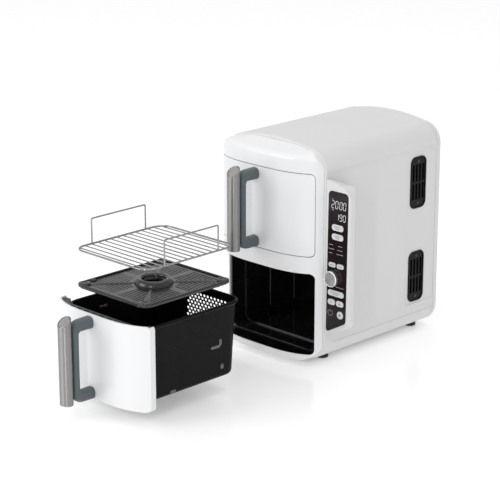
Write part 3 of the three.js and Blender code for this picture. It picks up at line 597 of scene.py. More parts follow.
def make_housing():
    shell = prism("housing", cabinet_section(0), HOUSING_FRONT, REAR - COVER_DEPTH - GAP, "y")
    soften(shell, 3, 5, 60)
    tools = [prism("tool", cabinet_section(WALL), HOUSING_FRONT - 1, REAR, "y")]
    half = (RIGHT - LEFT) / 2 - EDGE_RADIUS
    tools.append(block(MID_X - half, 0, 0, MID_X + half, REAR, BASE_Z + WALL + 1))
    flank = [(30, 40), (REAR + 40, 40), (REAR + 40, SIDE_CREASE_Z), (12, SIDE_CREASE_Z), (12, 58)]
    for side in ("left", "right"):
        tools.append(vent_band(side))
        tools.append(side_tool(flank, SIDE_STEP, side))
        for low, high in VENTS.values():
            tools.append(side_tool(vent_outline(low, high, 0), WALL + 4, side))
    combine(shell, "DIFFERENCE", *tools, *hand_recesses())
    soften(shell, 0.7, 3, 40)
    finish_piece(shell, "housing_shell_moulding", "cabinet", "satin_white", "housing_shell")


def vent_slots(low, high, x0, x1):
    """Two rows of upright slots through a vent."""
    middle, half = (low + high) / 2, VENT_SLOT["half"]
    slots = []
    for i in range(VENT_SLOT["count"]):
        y = VENT_MID_Y + (i - (VENT_SLOT["count"] - 1) / 2) * VENT_SLOT["pitch"]
        for z0, z1 in ((low + 16, middle - 2), (middle + 2, high - 14)):
            outline = rounded(y - half, z0, y + half, z1, half / 2, steps=4)
            slots.append(prism("tool", outline, x0 - 1, x1 + 1, "x"))
    return slots


def make_side_vents():
    for side, (x0, x1) in {"right": (RIGHT - WALL, RIGHT - 1.2), "left": (LEFT + 1.2, LEFT + WALL)}.items():
        outer = (x1 - 1.2, x1 + 2) if side == "right" else (x0 - 2, x0 + 1.2)
        for level, (low, high) in VENTS.items():
            node = f"side_vent_{side}_{level}"
            grille = prism("grille", vent_outline(low, high, -GAP), x0, x1, "x")
            dish = prism("tool", vent_outline(low, high, -2.6), *outer, "x")
            combine(grille, "DIFFERENCE", dish, *vent_slots(low, high, x0, x1))
            soften(grille, 0.4, 2)
            finish_piece(grille, f"{node}_louvres", "cabinet", "black_plastic", node)
            make_vent_screws(side, level, low, high)


def make_vent_screws(side, level, low, high):
    """A small countersunk screw at each end of a vent."""
    face = RIGHT - 2.2 if side == "right" else LEFT + 2.2
    out = 1 if side == "right" else -1
    heads = []
    for z in (low + 9.5, high - 8.5):
        rings = []
        for reach, radius in ((-0.4, 2.6), (0.1, 2.6), (0.5, 2.0), (0.6, 0.9), (0.15, 0.8), (0.1, 0.1)):
            rings.append([(face + out * reach, a, b) for a, b in oval(VENT_MID_Y, z, radius, radius, 20)])
        heads.append(loft("head", rings))
    finish_piece(merged(heads), f"side_vent_{side}_{level}_screws", "cabinet", "vent_metal")


def make_rear_cover():
    back = REAR - COVER_DEPTH
    cover = prism("cover", cabinet_section(0), back, REAR, "y")
    clean(cover)
    bevel(cover, 4, 5, 60)
    settle(cover)
    tools = [prism("tool", cabinet_section(WALL + 2), back - 1, REAR - 3.5, "y")]
    half_wide, half_high = LOUVRE["half_wide"], LOUVRE["half_high"]
    for zone in ZONES.values():
        for i in range(LOUVRE["count"]):
            z = zone + FAN_Z + (i - (LOUVRE["count"] - 1) / 2) * LOUVRE["pitch"]
            corners = (FAN_X - half_wide, z - half_high, FAN_X + half_wide, z + half_high)
            outline = rounded(*corners, LOUVRE["radius"], steps=5)
            tools.append(prism("tool", outline, back - 1, REAR + 1, "y"))
    for x, z in SCREWS:
        tools.append(prism("tool", oval(x, z, 4.4, 4.4, 24), REAR - 2, REAR + 1, "y"))
    tools.append(prism("tool", oval(*GLAND_AT, 7.3, 7.3, 32), back - 1, REAR + 1, "y"))
    combine(cover, "DIFFERENCE", *tools)
    soften(cover, 0.5, 2, 50)
    finish_piece(cover, "rear_cover_moulding", "cabinet", "satin_white", "rear_cover")


# ------------------------------------------------------------------ bowed front
def cap_levels(inset, steps=8):
    """The top of the front, seen from the side: (z, setback) over its soft edge and up the cap's slope."""
    top = CAP_EDGE_Z - inset
    levels = [(0, inset)]
    for i in range(steps + 1):
        t = i / steps
        setback = CAP_ROUND * t * t
        levels.append((top + setback * CAP_SLOPE - CAP_ROUND * (1 - t) ** 2, inset + setback))
    return levels + [(top + 40 * CAP_SLOPE, inset + 40)]


def front_block(inset, edge):
    """The whole bowed front as one solid, its outer edges rounded by edge mm."""
    rings = []
    for z, setback in cap_levels(inset):
        rings.append([(x, y + setback - inset, z) for x, y in front_plan(inset)])
    body = prism("front", cabinet_section(BEZEL_INSET + inset), BOW_END - BOW - 2, BEZEL_BACK, "y")
    combine(body, "INTERSECT", loft("tool", rings))
    return soften(body, edge, 3, 35) if edge else body


def front_pocket(zone, grow, y0=-40, y1=20):
    return prism(
        "tool",
        rounded(LEFT - 30, zone - grow, FRONT_RIGHT + grow, zone + FRONT_H + grow, SEAM_RADIUS + grow),
        y0,
        y1,
        "y",
    )


def make_bezel(whole, inner):
    bezel = duplicate(whole, "bezel")
    hollow = duplicate(inner, "hollow")
    combine(hollow, "DIFFERENCE", *[front_pocket(zone, SKIN) for zone in ZONES.values()])
    combine(bezel, "DIFFERENCE", hollow, *[front_pocket(zone, 0) for zone in ZONES.values()])
    soften(bezel, 0.7, 3, 50)
    finish_piece(bezel, "front_bezel_moulding", "cabinet", "gloss_white", "front_bezel")


def make_mouth_lining(level, inner):
    """The black lining of a drawer's opening, from the white edge back to the liner."""
    lining = duplicate(inner, "lining")
    combine(lining, "INTERSECT", front_pocket(ZONES[level], 0.02))
    combine(lining, "DIFFERENCE", front_pocket(ZONES[level], -0.6, -60, 30))
    finish_piece(lining, f"front_bezel_lining_{level}", "cabinet", "black_gloss")


def moved(obj, out):
    for vertex in obj.data.vertices:
        vertex.co.y += out * MM
    return obj


def make_drawer_front(level, whole, inner):
    zone = ZONES[level]
    front = duplicate(whole, "front")
    combine(front, "INTERSECT", front_pocket(zone, -SEAM))
    edge = SEAM + SKIN
    open_top = rounded(LEFT - 30, zone + edge, FRONT_RIGHT - edge, zone + FRONT_H + 40, SEAM_RADIUS - edge)
    hollow = duplicate(inner, "hollow")
    combine(hollow, "INTERSECT", prism("tool", open_top, -40, 20, "y"))
    combine(front, "DIFFERENCE", hollow, block(LEFT - 5, FRONT_BACK, 0, RIGHT + 5, 20, 400))
    soften(front, 0.8, 3, 50)
    moved(front, DRAWER_OUT[level])
    node = f"drawer_front_{level}"
    finish_piece(front, f"{node}_skin", f"drawer_{level}", "gloss_white", node)


# ------------------------------------------------------------------ cavities
def make_liner(level):
    zone = ZONES[level]
    flange_y = HOUSING_FRONT + GAP
    margin, flange_right = LINER_FLANGE["margin"], FRONT_RIGHT + LINER_FLANGE["right_margin"]
    outline = rounded(
        LINER_FLANGE["left"], zone - margin, flange_right, zone + FRONT_H + margin, LINER_FLANGE["radius"]
    )
    flange = prism("liner", outline, flange_y, flange_y + LINER_FLANGE["thick"], "y")
    mouth = cavity_outline(zone, MOUTH_STEP + LINER_WALL)
    combine(
        flange,
        "UNION",
        prism("tool", mouth, flange_y, MOUTH_DEPTH + LINER_WALL, "y"),
        prism("tool", cavity_outline(zone, LINER_WALL), flange_y, CAVITY["rear"], "y"),
    )
    combine(
        flange,
        "DIFFERENCE",
        prism("tool", cavity_outline(zone, MOUTH_STEP), flange_y - 1, MOUTH_DEPTH, "y"),
        prism("tool", cavity_outline(zone, 0), flange_y, CAVITY["rear"] - LINER_WALL, "y"),
        prism("tool", oval(FAN_X, zone + FAN_Z, 6, 6, 24), CAVITY["rear"] - 5, CAVITY["rear"] + 5, "y"),
    )
    combine(flange, "INTERSECT", prism("tool", cabinet_section(WALL + GAP), 0, REAR, "y"))
    soften(flange, 0.5, 2, 50)
    finish_piece(flange, f"cavity_liner_{level}_shell", "cabinet", "cavity_enamel", f"cavity_liner_{level}")


def make_cavity_ribs(level):
    """Upright ribs on the side walls, in a lighter grey metal than the black enamel: a painted highlight."""
    zone = ZONES[level]
    ribs = []
    for y in RIB_Y:
        for x in (CAVITY["left"], CAVITY["right"]):
            outline = rounded(x - 0.9, y - 1.3, x + 0.9, y + 1.3, 0.8, steps=4)
            ribs.append(prism("rib", outline, zone + 16, zone + CAVITY["top"] - 12, "z"))
    finish_piece(merged(ribs), f"cavity_liner_{level}_ribs", "cabinet", "painted_highlight_metal")


# ------------------------------------------------------------------ drawers
def inset_outline(base, inset, radius, steps):
    """The plan outline of a basket, plate or rack, drawn in by inset."""
    low, high = (base["left"] + inset, base["front"] + inset), (base["right"] - inset, base["rear"] - inset)
    return rounded(*low, *high, radius, steps=steps)


def rect_ring(z, inset, radius, steps=12, base=BASKET):
    return [(x, y, z) for x, y in inset_outline(base, inset, radius, steps)]


def make_basket(level):
    zone = ZONES[level]
    floor, rim, radius = zone + BASKET["floor"], zone + BASKET["rim"], BASKET["radius"]
    outer = [
        (floor, 22, 12),
        (floor + 0.6, 17, 14.5),
        (floor + 2.5, 13, 16.5),
        (floor + 5, 10.6, 18),
        (floor + 9, 9.4, 19),
        (rim - 60, 6.6, 20.5),
        (rim - 7.5, 3.4, 22),
        (rim - 6.4, 2.4, 22.4),
        (rim - 5.6, 1.0, 23.2),
        (rim - 4.2, 0.2, 23.9),
        (rim - 2.4, 0, radius),
        (rim - 0.9, 0.6, 23.5),
        (rim - 0.1, 1.9, 22.5),
        (rim, 3.1, 21.5),
        (rim - 0.6, 4.2, 20.6),
        (rim - 2.4, 4.8, 20),
    ]
    inner = [
        (rim - 8, 4.8, 20),
        (rim - 60, 6.6 + SHEET, 19),
        (floor + 9 + SHEET, 9.4 + SHEET, 17.6),
        (floor + 5 + SHEET, 10.6 + SHEET, 16.6),
        (floor + 2.5 + SHEET, 13 + SHEET, 15.2),
        (floor + 0.6 + SHEET, 17 + SHEET, 13.2),
        (floor + SHEET, 22 + SHEET, 10.8),
    ]
    basket = loft("basket", [rect_ring(*ring) for ring in outer + inner])
    combine(basket, "DIFFERENCE", air_holes(zone))
    moved(basket, DRAWER_OUT[level])
    node = f"basket_{level}"
    finish_piece(basket, f"{node}_pressing", f"drawer_{level}", "non_stick", node, angle=40)
    make_basket_bosses(level)


def air_holes(zone):
    """The staggered field of small oblong holes in the rear wall."""
    columns, rows, pitch = AIR_HOLES["columns"], AIR_HOLES["rows"], AIR_HOLES["pitch_x"]
    half_wide, half_high = AIR_HOLE["half_wide"], AIR_HOLE["half_high"]
    holes = []
    for row in range(rows):
        stagger = pitch / 4 if row % 2 else -pitch / 4
        z = zone + AIR_HOLES["height"] + (row - (rows - 1) / 2) * AIR_HOLES["pitch_z"]
        for column in range(columns):
            x = AIR_HOLES["x"] + (column - (columns - 1) / 2) * pitch + stagger
            corners = (x - half_wide, z - half_high, x + half_wide, z + half_high)
            outline = rounded(*corners, AIR_HOLE["radius"], steps=3)
            holes.append(prism("hole", outline, BASKET["rear"] - 14, BASKET["rear"] + 3, "y"))
    return merged(holes)


OUTER_BOSSES = [(150, 66, 20, 5, 7.2), (161, 72, 5, 12, 6.9), (166, 29, 7, 9, 8.6), (58, 15, 12, 5, 9.3)]
OUTER_BOSS_PROFILE = [(-1.2, 1), (0.3, 1), (0.9, 0.85), (1.2, 0.55), (1.25, 0.05)]
INNER_BOSS = {"at_y": (70, 150), "height": 112, "long": 18, "tall": 7, "corner": 3}
INNER_BOSS_PROFILE = [(-1.0, 1), (0.4, 1), (1.8, 0.8), (2.2, 0.4), (2.3, 0.05)]


def boss(at, long, tall, corner, profile, out):
    """A pressed boss on a side wall; its profile is (reach from the wall, share of the full size)."""
    x, y, z = at
    rings = []
    for reach, share in profile:
        half_long, half_tall = long * share / 2, tall * share / 2
        corners = (y - half_long, z - half_tall, y + half_long, z + half_tall)
        rings.append([(x + reach, a, b) for a, b in rounded(*corners, corner * share, steps=4)])
    return loft("boss", rings, out)


def make_basket_bosses(level):
    """Small bosses, outside to guide the drawer and inside to hold the plate, in lighter grey metal: a
    painted highlight.
    """
    zone, out = ZONES[level], DRAWER_OUT[level]
    bosses = []
    for y, z, long, tall, inset in OUTER_BOSSES:
        at = (BASKET["right"] - inset, y, zone + z)
        bosses.append(boss(at, long, tall, min(long, tall) * 0.45, OUTER_BOSS_PROFILE, out))
    long, tall, corner = INNER_BOSS["long"], INNER_BOSS["tall"], INNER_BOSS["corner"]
    for y in INNER_BOSS["at_y"]:
        at = (BASKET["left"] + 5.6, y, zone + INNER_BOSS["height"])
        bosses.append(boss(at, long, tall, corner, INNER_BOSS_PROFILE, out))
    finish_piece(merged(bosses), f"basket_{level}_bosses", f"drawer_{level}", "painted_highlight_metal")


def above_bar_top(zone, drop, out):
    """Everything above the bar's slanted top, or above a line parallel to it."""
    def top_at(y):
        return zone + BAR["high"] - drop + (y - BAR["y"] - BAR["half_y"]) * BAR["slope"]

    side = [(-120, top_at(-120)), (-40, top_at(-40)), (-40, 500), (-120, 500)]
    return prism("tool", side, BAR["x"] - 20, BAR["x"] + 20, "x", out)


def bar_oval(name, inset, low, high, out):
    outline = oval(BAR["x"], BAR["y"], BAR["half_x"] - inset, BAR["half_y"] - inset, 72)
    return prism(name, outline, low, high, "z", out)


def make_handle(level):
    zone, out, body = ZONES[level], DRAWER_OUT[level], f"drawer_{level}"
    low, high = zone + BAR["low"], zone + BAR["high"]
    bar = bar_oval("bar", 0, low, high, out)
    bore = bar_oval("tool", BAR["wall"], low - 1, high + 1, out)
    combine(bar, "DIFFERENCE", bore, above_bar_top(zone, 0, out))
    soften(bar, 0.45, 3, 40)
    finish_piece(bar, f"handle_bar_{level}_tube", body, "brushed_steel", f"handle_bar_{level}")

    cap = bar_oval("cap", BAR["wall"] + GAP, zone + 60, high, out)
    combine(cap, "DIFFERENCE", above_bar_top(zone, GAP, out))
    soften(cap, 0.6, 3, 30)
    finish_piece(cap, f"handle_cap_{level}_plug", body, "cap_metal", f"handle_cap_{level}")
    make_bottom_plug(level)
    make_bracket(level)


def make_bottom_plug(level):
    """Closes the lower end of the tube."""
    low = ZONES[level] + BAR["low"]
    rings = []
    for rise, inset in ((0.5, 3.2), (0.2, 2.6), (0.4, 2.0), (1.0, 1.8), (5, 1.8)):
        outline = oval(BAR["x"], BAR["y"], BAR["half_x"] - inset, BAR["half_y"] - inset, 48)
        rings.append([(x, y, low + rise) for x, y in outline])
    plug = loft("plug", rings, DRAWER_OUT[level])
    finish_piece(plug, f"handle_cap_{level}_foot", f"drawer_{level}", "slate_plastic")


def bracket_path(zone):
    """The C-shaped bracket's centre line, as (y, z, half thickness), from its top foot to its bottom foot."""
    reach = bow_at(BAR["x"]) + 3
    top, bottom = zone + 129.5, zone + 11.5
    spine = BAR["y"] + BAR["half_y"] + GAP + 6.5
    bend = 12
    path = [(reach, top, 10), (reach - 6, top, 10), (spine + bend + 4, top, 9.8)]
    for a, b in arc(spine + bend, top - bend, bend, 90, 180, 8)[1:]:
        path.append((a, b, 9.6 - 3.0 * (top - b) / bend))
    path.append((spine, top - 34, 6.3))
    path.append((spine, bottom + 34, 6.3))
    for a, b in arc(spine + bend, bottom + bend, bend, 180, 270, 8)[:-1]:
        path.append((a, b, 9.6 - 3.0 * (b - bottom) / bend))
    return path + [(spine + bend + 4, bottom, 9.6), (reach - 6, bottom, 9.8), (reach, bottom, 10)]


def make_bracket(level):
    zone, out = ZONES[level], DRAWER_OUT[level]
    path = bracket_path(zone)
    back = BAR["y"] + BAR["half_y"] + GAP
    rings = []
    for i, (y, z, half) in enumerate(path):
        before, after = path[max(i - 1, 0)], path[min(i + 1, len(path) - 1)]
        along = Vector((after[0] - before[0], after[1] - before[1])).normalized()
        across = Vector((-along.y, along.x))
        ring = []
        for k in range(28):
            turn = math.tau * k / 28
            c, s = math.cos(turn), math.sin(turn)
            side = 10 * math.copysign(abs(c) ** 0.75, c)
            rise = half * math.copysign(abs(s) ** 0.75, s)
            ring.append((BAR["x"] + side, max(y + across.x * rise, back), z + across.y * rise))
        rings.append(ring)
    bracket = loft("bracket", rings, out)
    keep = prism("tool", front_plan(-GAP), zone - 20, zone + FRONT_H + 20, "z", out)
    combine(bracket, "DIFFERENCE", keep)
    node = f"handle_bracket_{level}"
    finish_piece(bracket, f"{node}_arm", f"drawer_{level}", "slate_plastic", node, angle=50)


def make_insert(level):
    node = f"drawer_insert_{level}"
    finish_piece(refined(node, 0.6, 2, 40), f"{node}_frame", f"drawer_{level}", "grey_plastic", node)


# ------------------------------------------------------------------ crisper plates and rack
def plate_slits():
    """Fine parallel slits in four fields, left clear of the ring and of the diagonal ribs."""
    slits = []
    half_x, half_y = 74, 86
    for side_x in (-1, 1):
        for side_y in (-1, 1):
            for i in range(13):
                y = side_y * (9 + i * 6)
                diagonal = abs(y) * half_x / half_y
                clear = RING["radius"] + 5
                ring = math.sqrt(max(0, clear**2 - y**2))
                for x0, x1 in ((max(ring, 5), diagonal - 4), (max(diagonal + 4, ring + 3), half_x)):
                    if x1 - x0 < 5:
                        continue
                    xs = sorted((PLATE_X + side_x * x0, PLATE_X + side_x * x1))
                    outline = rounded(xs[0], PLATE_Y + y - 1.25, xs[1], PLATE_Y + y + 1.25, 1.2, steps=3)
                    slits.append(prism("slit", outline, -9, 9, "z"))
    return merged(slits)


def plate_rings():
    """The plate's skin: a shallow dish with a turned-down edge."""
    thick = PLATE["thick"]
    rings = []
    for z, inset, radius in (
        (-thick, 6, 15),
        (-thick - 1.8, 2.4, 17.6),
        (-thick - 1.6, 0.6, 19.4),
        (-thick - 0.6, 0, 20),
        (-0.9, 0, 20),
        (-0.2, 0.6, 19.4),
        (0, 1.6, 18.6),
        (0, 3.4, 17),
        (-0.9, 5.4, 15.4),
    ):
        rings.append(rect_ring(z, inset, radius, 10, PLATE))
    return rings


def plate_collar():
    """The rounded raised ring in the middle of the plate."""
    hole, wide, high = RING["hole"], RING["radius"] - RING["hole"], RING["height"]
    over = [(0.3, 0.93), (0.72, 0.8), (0.96, 0.6), (1, 0.36), (0.9, 0.12), (0.6, 0)]
    profile = [(-2.2, 1), (-0.9, 1)] + [(high * rise, share) for rise, share in over] + [(-2.2, 0)]
    rings = []
    for height, share in profile:
        radius = hole + wide * share
        rings.append([(x, y, height) for x, y in oval(PLATE_X, PLATE_Y, radius, radius, 56)])
    return loft("ring", rings, closed=True)


def make_plate(level, body, z, out):
    bore = RING["hole"] + 2
    plate = loft("plate", plate_rings())
    combine(plate, "DIFFERENCE", plate_slits())
    combine(plate, "DIFFERENCE", prism("tool", oval(PLATE_X, PLATE_Y, bore, bore, 56), -9, 9, "z"))
    collar, rim = plate_collar(), make_plate_rim()
    ribs = [plate_rib(side_x, side_y) for side_x in (-1, 1) for side_y in (-1, 1)]
    for part in (plate, collar, rim, *ribs):
        for vertex in part.data.vertices:
            vertex.co += Vector((0, out, z)) * MM
    soften(plate, 0.35, 2, 45)
    node = f"crisper_plate_{level}"
    finish_piece(plate, f"{node}_sheet", body, "plate_coat", node)
    finish_piece(rim, f"{node}_rim", body, "plate_coat", angle=60)
    finish_piece(collar, f"{node}_ring", body, "plate_coat", angle=60)
    finish_piece(merged(ribs), f"{node}_ribs", body, "plate_coat", angle=60)


PLATE_RIM = {"inset": 3, "height": 0.4, "wire": 1.5}
PAD_INSET = 12
PAD_PROFILE = [  # height and radius
    (-4.6, 6), (-4.4, 9), (-3, 10.4), (0.6, 10.4), (2.2, 9.4), (2.8, 7.6), (2.4, 5.6), (1.4, 4.6),
]


def make_plate_rim():
    """A rolled rim round the plate and a thick rounded pad on each of its corners."""
    inset = PLATE_RIM["inset"]
    rim = rect_ring(PLATE_RIM["height"], inset, PLATE["radius"] - inset, 10, PLATE)
    parts = [wire(rim, PLATE_RIM["wire"], (0, 0, 1), closed=True)]
    for x in (PLATE["left"] + PAD_INSET, PLATE["right"] - PAD_INSET):
        for y in (PLATE["front"] + PAD_INSET, PLATE["rear"] - PAD_INSET):
            rings = []
            for height, radius in PAD_PROFILE:
                rings.append([(a, b, height) for a, b in oval(x, y, radius, radius, 36)])
            parts.append(loft("pad", rings))
    return merged(parts)


RIB_SECTION = [(-1, -0.4), (-0.8, 0.35), (-0.4, 0.85), (0, 1), (0.4, 0.85), (0.8, 0.35), (1, -0.4)]


def plate_rib(sx, sy):
    """A smooth raised rib from the ring to a corner."""
    start = Vector((PLATE_X + sx * 20, PLATE_Y + sy * 23))
    end = Vector((PLATE_X + sx * 71, PLATE_Y + sy * 84))
    along = (end - start).normalized()
    across = Vector((-along.y, along.x))
    rings = []
    for t in [i / 10 for i in range(11)]:
        centre = start.lerp(end, t)
        wide = 3.4 + 1.6 * t
        high = 2.0 * math.sin(math.pi * min(1, 0.15 + t * 0.9)) ** 0.5
        ring = []
        for side, rise in RIB_SECTION:
            spot = centre + across * side * wide
            ring.append((spot.x, spot.y, rise * max(high, 0.2) - 0.9 if rise < 0 else rise * high - 0.9))
        rings.append(ring)
    return loft("rib", rings)


BUMPER_PROFILE = [  # rise and radius
    (0, 4.2), (0.4, 5.6), (1.4, 6.6), (2.2, 7), (3.0, 6.7),
    (3.4, 6.2), (5.0, 6.2), (5.6, 6.0), (6.2, 5.2), (6.5, 3.6),
]


def make_bumpers():
    """Silicone bumpers: a plug with a rounded head in each of the plate's corner holes."""
    for i in range(1, 5):
        node = f"plate_bumper_{i}"
        low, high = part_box(node)
        foot = (Vector(((low.x + high.x) / 2, (low.y + high.y) / 2, low.z)) - SHIFT) / MM
        rings = []
        for rise, radius in BUMPER_PROFILE:
            rings.append([(a, b, foot.z + rise) for a, b in oval(foot.x, foot.y, radius, radius, 36)])
        finish_piece(loft(node, rings), f"{node}_head", "crisper_plate", "silicone", node, angle=50)


def wire(points, radius, normal, closed=False, sides=10):
    """A round wire through points in one plane, mitred at its bends; the plane's normal stops it twisting."""
    rings = []
    count = len(points)
    places = [Vector(p) for p in points]
    up = Vector(normal)
    for i, place in enumerate(places):
        before = places[i - 1] if closed or i else place
        after = places[(i + 1) % count] if closed or i < count - 1 else place
        into = (place - before).normalized()
        onward = (after - place).normalized()
        along = (into + onward).normalized()
        bend = max(along.dot(into), along.dot(onward))
        across = up.cross(along) / bend
        ring = []
        for k in range(sides):
            turn = math.tau * k / sides
            ring.append(tuple(place + across * radius * math.cos(turn) + up * radius * math.sin(turn)))
        rings.append(ring)
    return loft("wire", rings, closed=closed)


def corner_inset(y):
    """How far the rack's rounded corners draw its sides in at this depth."""
    radius = RACK["radius"]
    reach = max(0, RACK["front"] + radius - y, y - RACK["rear"] + radius)
    return radius - math.sqrt(radius**2 - reach**2)


def make_rack():
    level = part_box("meal_rack")[0].z / MM + RACK_WIRE["in_cad"]
    outline = inset_outline(RACK, 0, RACK["radius"], 8)
    frame_path = [(x, y + OUT_LOWER, level) for x, y in outline]
    wires = [wire(frame_path, RACK_WIRE["frame"], (0, 0, 1), closed=True)]
    first, last = RACK["front"] + RACK["end_gap"], RACK["rear"] - RACK["end_gap"]
    for i in range(RACK["wires"]):
        y = first + (last - first) * i / (RACK["wires"] - 1)
        inset = corner_inset(y)
        ends = [(x, y + OUT_LOWER, level) for x in (RACK["left"] + inset, RACK["right"] - inset)]
        wires.append(wire(ends, RACK_WIRE["cross"], (0, 0, 1)))
    middle = (RACK["front"] + RACK["rear"]) / 2 + OUT_LOWER
    half, high, radius = RACK_GRIP["half"], RACK_GRIP["high"], RACK_GRIP["radius"]
    grip = (
        [(middle - half, 0)]
        + arc(middle - half + radius, high - radius, radius, 180, 90, 5)
        + arc(middle + half - radius, high - radius, radius, 90, 0, 5)
        + [(middle + half, 0)]
    )
    for x in (RACK["left"], RACK["right"]):
        wires.append(wire([(x, a, level + b) for a, b in grip], RACK_WIRE["grip"], (1, 0, 0)))
    finish_piece(merged(wires), "meal_rack_wires", "rack", "chrome", "meal_rack", angle=60)


# ------------------------------------------------------------------ control console
KEYS = {
    "button_zone_upper": (114.5, 252, 25, 10.6),
    "button_zone_lower": (114.5, 236, 25, 10.6),
    "button_temp_time": (103.4, 186.5, 15, 8),
    "button_mode": (121.3, 186.5, 15, 8),
    "button_sync": (112.2, 137.5, 35, 10),
    "button_minus": (102.8, 121.3, 16, 10),
    "button_plus": (121.4, 121.3, 16, 10),
    "button_start": (122.4, 101.8, 13, 13),
}
KEY_PROUD = 1.6
DIAL = (105.5, 163.2, 14)
DIAL_PROUD = 9
GLASS_PROUD = 0.4


def key_outline(key, grow=0.0):
    x, z, wide, tall = KEYS[key]
    half_wide, half_tall = wide / 2 + grow, tall / 2 + grow
    radius = min(wide, tall) / 2 - 0.5 + grow
    return rounded(x - half_wide, z - half_tall, x + half_wide, z + half_tall, radius, steps=10)


def panel_outline(grow):
    left, right, top = PANEL["left"] - grow, PANEL["right"] + grow, PANEL["top"] + grow
    low_left, low_right = PANEL["low_left"] - grow, PANEL["low_right"] - grow
    outline = (
        [(left + 5, low_left), (right - 8, low_right - 4), (right - 3, low_right - 1.2)]
        + [(right - 0.7, low_right + 2.6), (right, low_right + 8)]
        + arc(right - 8, top - 8, 8, 0, 90)
        + arc(left + 8, top - 8, 8, 90, 180)
        + [(left, low_left + 5), (left + 0.8, low_left + 1.6), (left + 2.4, low_left + 0.3)]
    )
    return [(x + PANEL_LEAN * (z - PANEL_PIVOT), z) for x, z in outline]


def console_plan(inset):
    left = CONSOLE["left"] - (1 if inset else 0)
    right, front = CONSOLE["right"] - inset, CONSOLE["front"] + inset
    return (
        [(left, front)]
        + arc(right - 5, front + 5, 5, -90, 0, 8)
        + arc(right - 6, CONSOLE["edge"] - 1, 6, 0, 42, 8)
        + [(left, CONSOLE["rear"] - inset * 2)]
    )


def console_elevation(inset):
    left, right = CONSOLE["left"] - 2, CONSOLE["right"] - inset
    low, high = CONSOLE["low"] + inset, CONSOLE["high"] - inset
    steps = [(0, 0), (20, 5), (36, 13), (48, 23)]
    bottom = [(left + across, low + rise) for across, rise in steps] + [(right, low + 34)]
    top = arc(right - 26, high - 30, 26, 0, 62, 10, 24)
    return bottom + top + [(left + 22, high - 3.2), (left + 10, high - 0.6), (left, high)]


def make_console():
    front = CONSOLE["front"]
    pod = prism("pod", console_plan(0), 0, 400, "z")
    combine(pod, "INTERSECT", prism("tool", console_elevation(0), 0, 100, "y"))
    top = CONSOLE["high"]
    near, far = front + 5, CONSOLE["rear"] + 1
    behind_top = [(near, top), (far, top - 34), (far, top + 9), (near, top + 9)]
    combine(pod, "DIFFERENCE", prism("tool", behind_top, RIGHT - 5, CONSOLE["right"] + 5, "x"))
    soften(pod, 2.4, 5, 35)
    combine(
        pod,
        "DIFFERENCE",
        prism("tool", panel_outline(GAP), front - 1, front + PANEL["thick"] + GAP, "y"),
        prism("tool", panel_outline(-2.5), front - 1, front + 12, "y"),
    )
    soften(pod, 0.35, 2, 60)
    finish_piece(pod, "control_console_pod", "cabinet", "satin_white", "control_console", angle=38)

    glass = prism("glass", panel_outline(0), front - GLASS_PROUD, front + PANEL["thick"], "y")
    holes = [prism("tool", key_outline(key, GAP), front - 5, front + 12, "y") for key in KEYS]
    holes.append(prism("tool", oval(DIAL[0], DIAL[1], 4.3, 4.3, 24), front - 5, front + 12, "y"))
    combine(glass, "DIFFERENCE", merged(holes))
    soften(glass, 0.3, 2, 40)
    finish_piece(glass, "control_panel_glass_pane", "cabinet", "panel_glass", "control_panel_glass")


def make_keys():
    front = CONSOLE["front"]
    for key, (x, z, wide, tall) in KEYS.items():
        body = "key_" + key[len("button_"):]
        cap = prism(key, key_outline(key), front - KEY_PROUD, front + 5, "y")
        soften(cap, 0.7, 4, 40)
        finish_piece(cap, f"{key}_cap", body, "key_grey", key)
        marks = key_marks(key, x, z, wide, tall, front - KEY_PROUD)
        finish_piece(merged(marks), f"{key}_mark", body, "print_dark")


def stroke(x0, z0, x1, z1, face, thick=0.7):
    """A straight printed stroke, 0.1 mm proud of a face."""
    along = Vector((x1 - x0, z1 - z0)).normalized() * (thick / 2)
    across = Vector((-along.y, along.x))
    a, b = Vector((x0, z0)) - along, Vector((x1, z1)) + along
    outline = [tuple(a - across), tuple(b - across), tuple(b + across), tuple(a + across)]
    return prism("stroke", outline, face - 0.1, face + 0.2, "y")


def key_marks(key, x, z, wide, tall, face):
    """Generic marks: plus, minus, a play triangle, or plain bars in place of words."""
    if key == "button_plus":
        return [stroke(x - 2, z, x - 0.4, z, face), stroke(x + 0.4, z, x + 2, z, face),
                stroke(x, z - 2, x, z + 2, face)]
    if key == "button_minus":
        return [stroke(x - 2, z, x + 2, z, face)]
    if key == "button_start":
        triangle = [(x - 1.8, z - 2.6), (x + 2.8, z), (x - 1.8, z + 2.6)]
        return [prism("stroke", triangle, face - 0.1, face + 0.2, "y")]
    half = wide * 0.26
    if tall < 9:
        return [stroke(x - half, z, x + half, z, face, 0.8)]
    rows = ((1.6, half), (-1.6, half * 0.6))
    return [stroke(x - reach, z + rise, x + reach, z + rise, face, 0.8) for rise, reach in rows]


SEGMENTS = {"0": "abcdef", "1": "bc", "2": "abged", "9": "abcdfg"}
DIGIT_LEAN = 0.08
SEGMENT_TRIM = 0.9


def digit(value, x, z, wide, tall, face):
    """One seven-segment digit, leaning a little like the display's."""
    half = tall / 2
    ends = {
        "a": ((0, tall), (wide, tall)),
        "b": ((wide, tall), (wide, half)),
        "c": ((wide, half), (wide, 0)),
        "d": ((0, 0), (wide, 0)),
        "e": ((0, half), (0, 0)),
        "f": ((0, tall), (0, half)),
        "g": ((0, half), (wide, half)),
    }
    strokes = []
    for name in SEGMENTS[value]:
        start, end = (Vector(place) for place in ends[name])
        trim = (end - start).normalized() * SEGMENT_TRIM
        (x0, z0), (x1, z1) = start + trim, end - trim
        strokes.append(stroke(x + x0 + z0 * DIGIT_LEAN, z + z0, x + x1 + z1 * DIGIT_LEAN, z + z1, face))
    return strokes


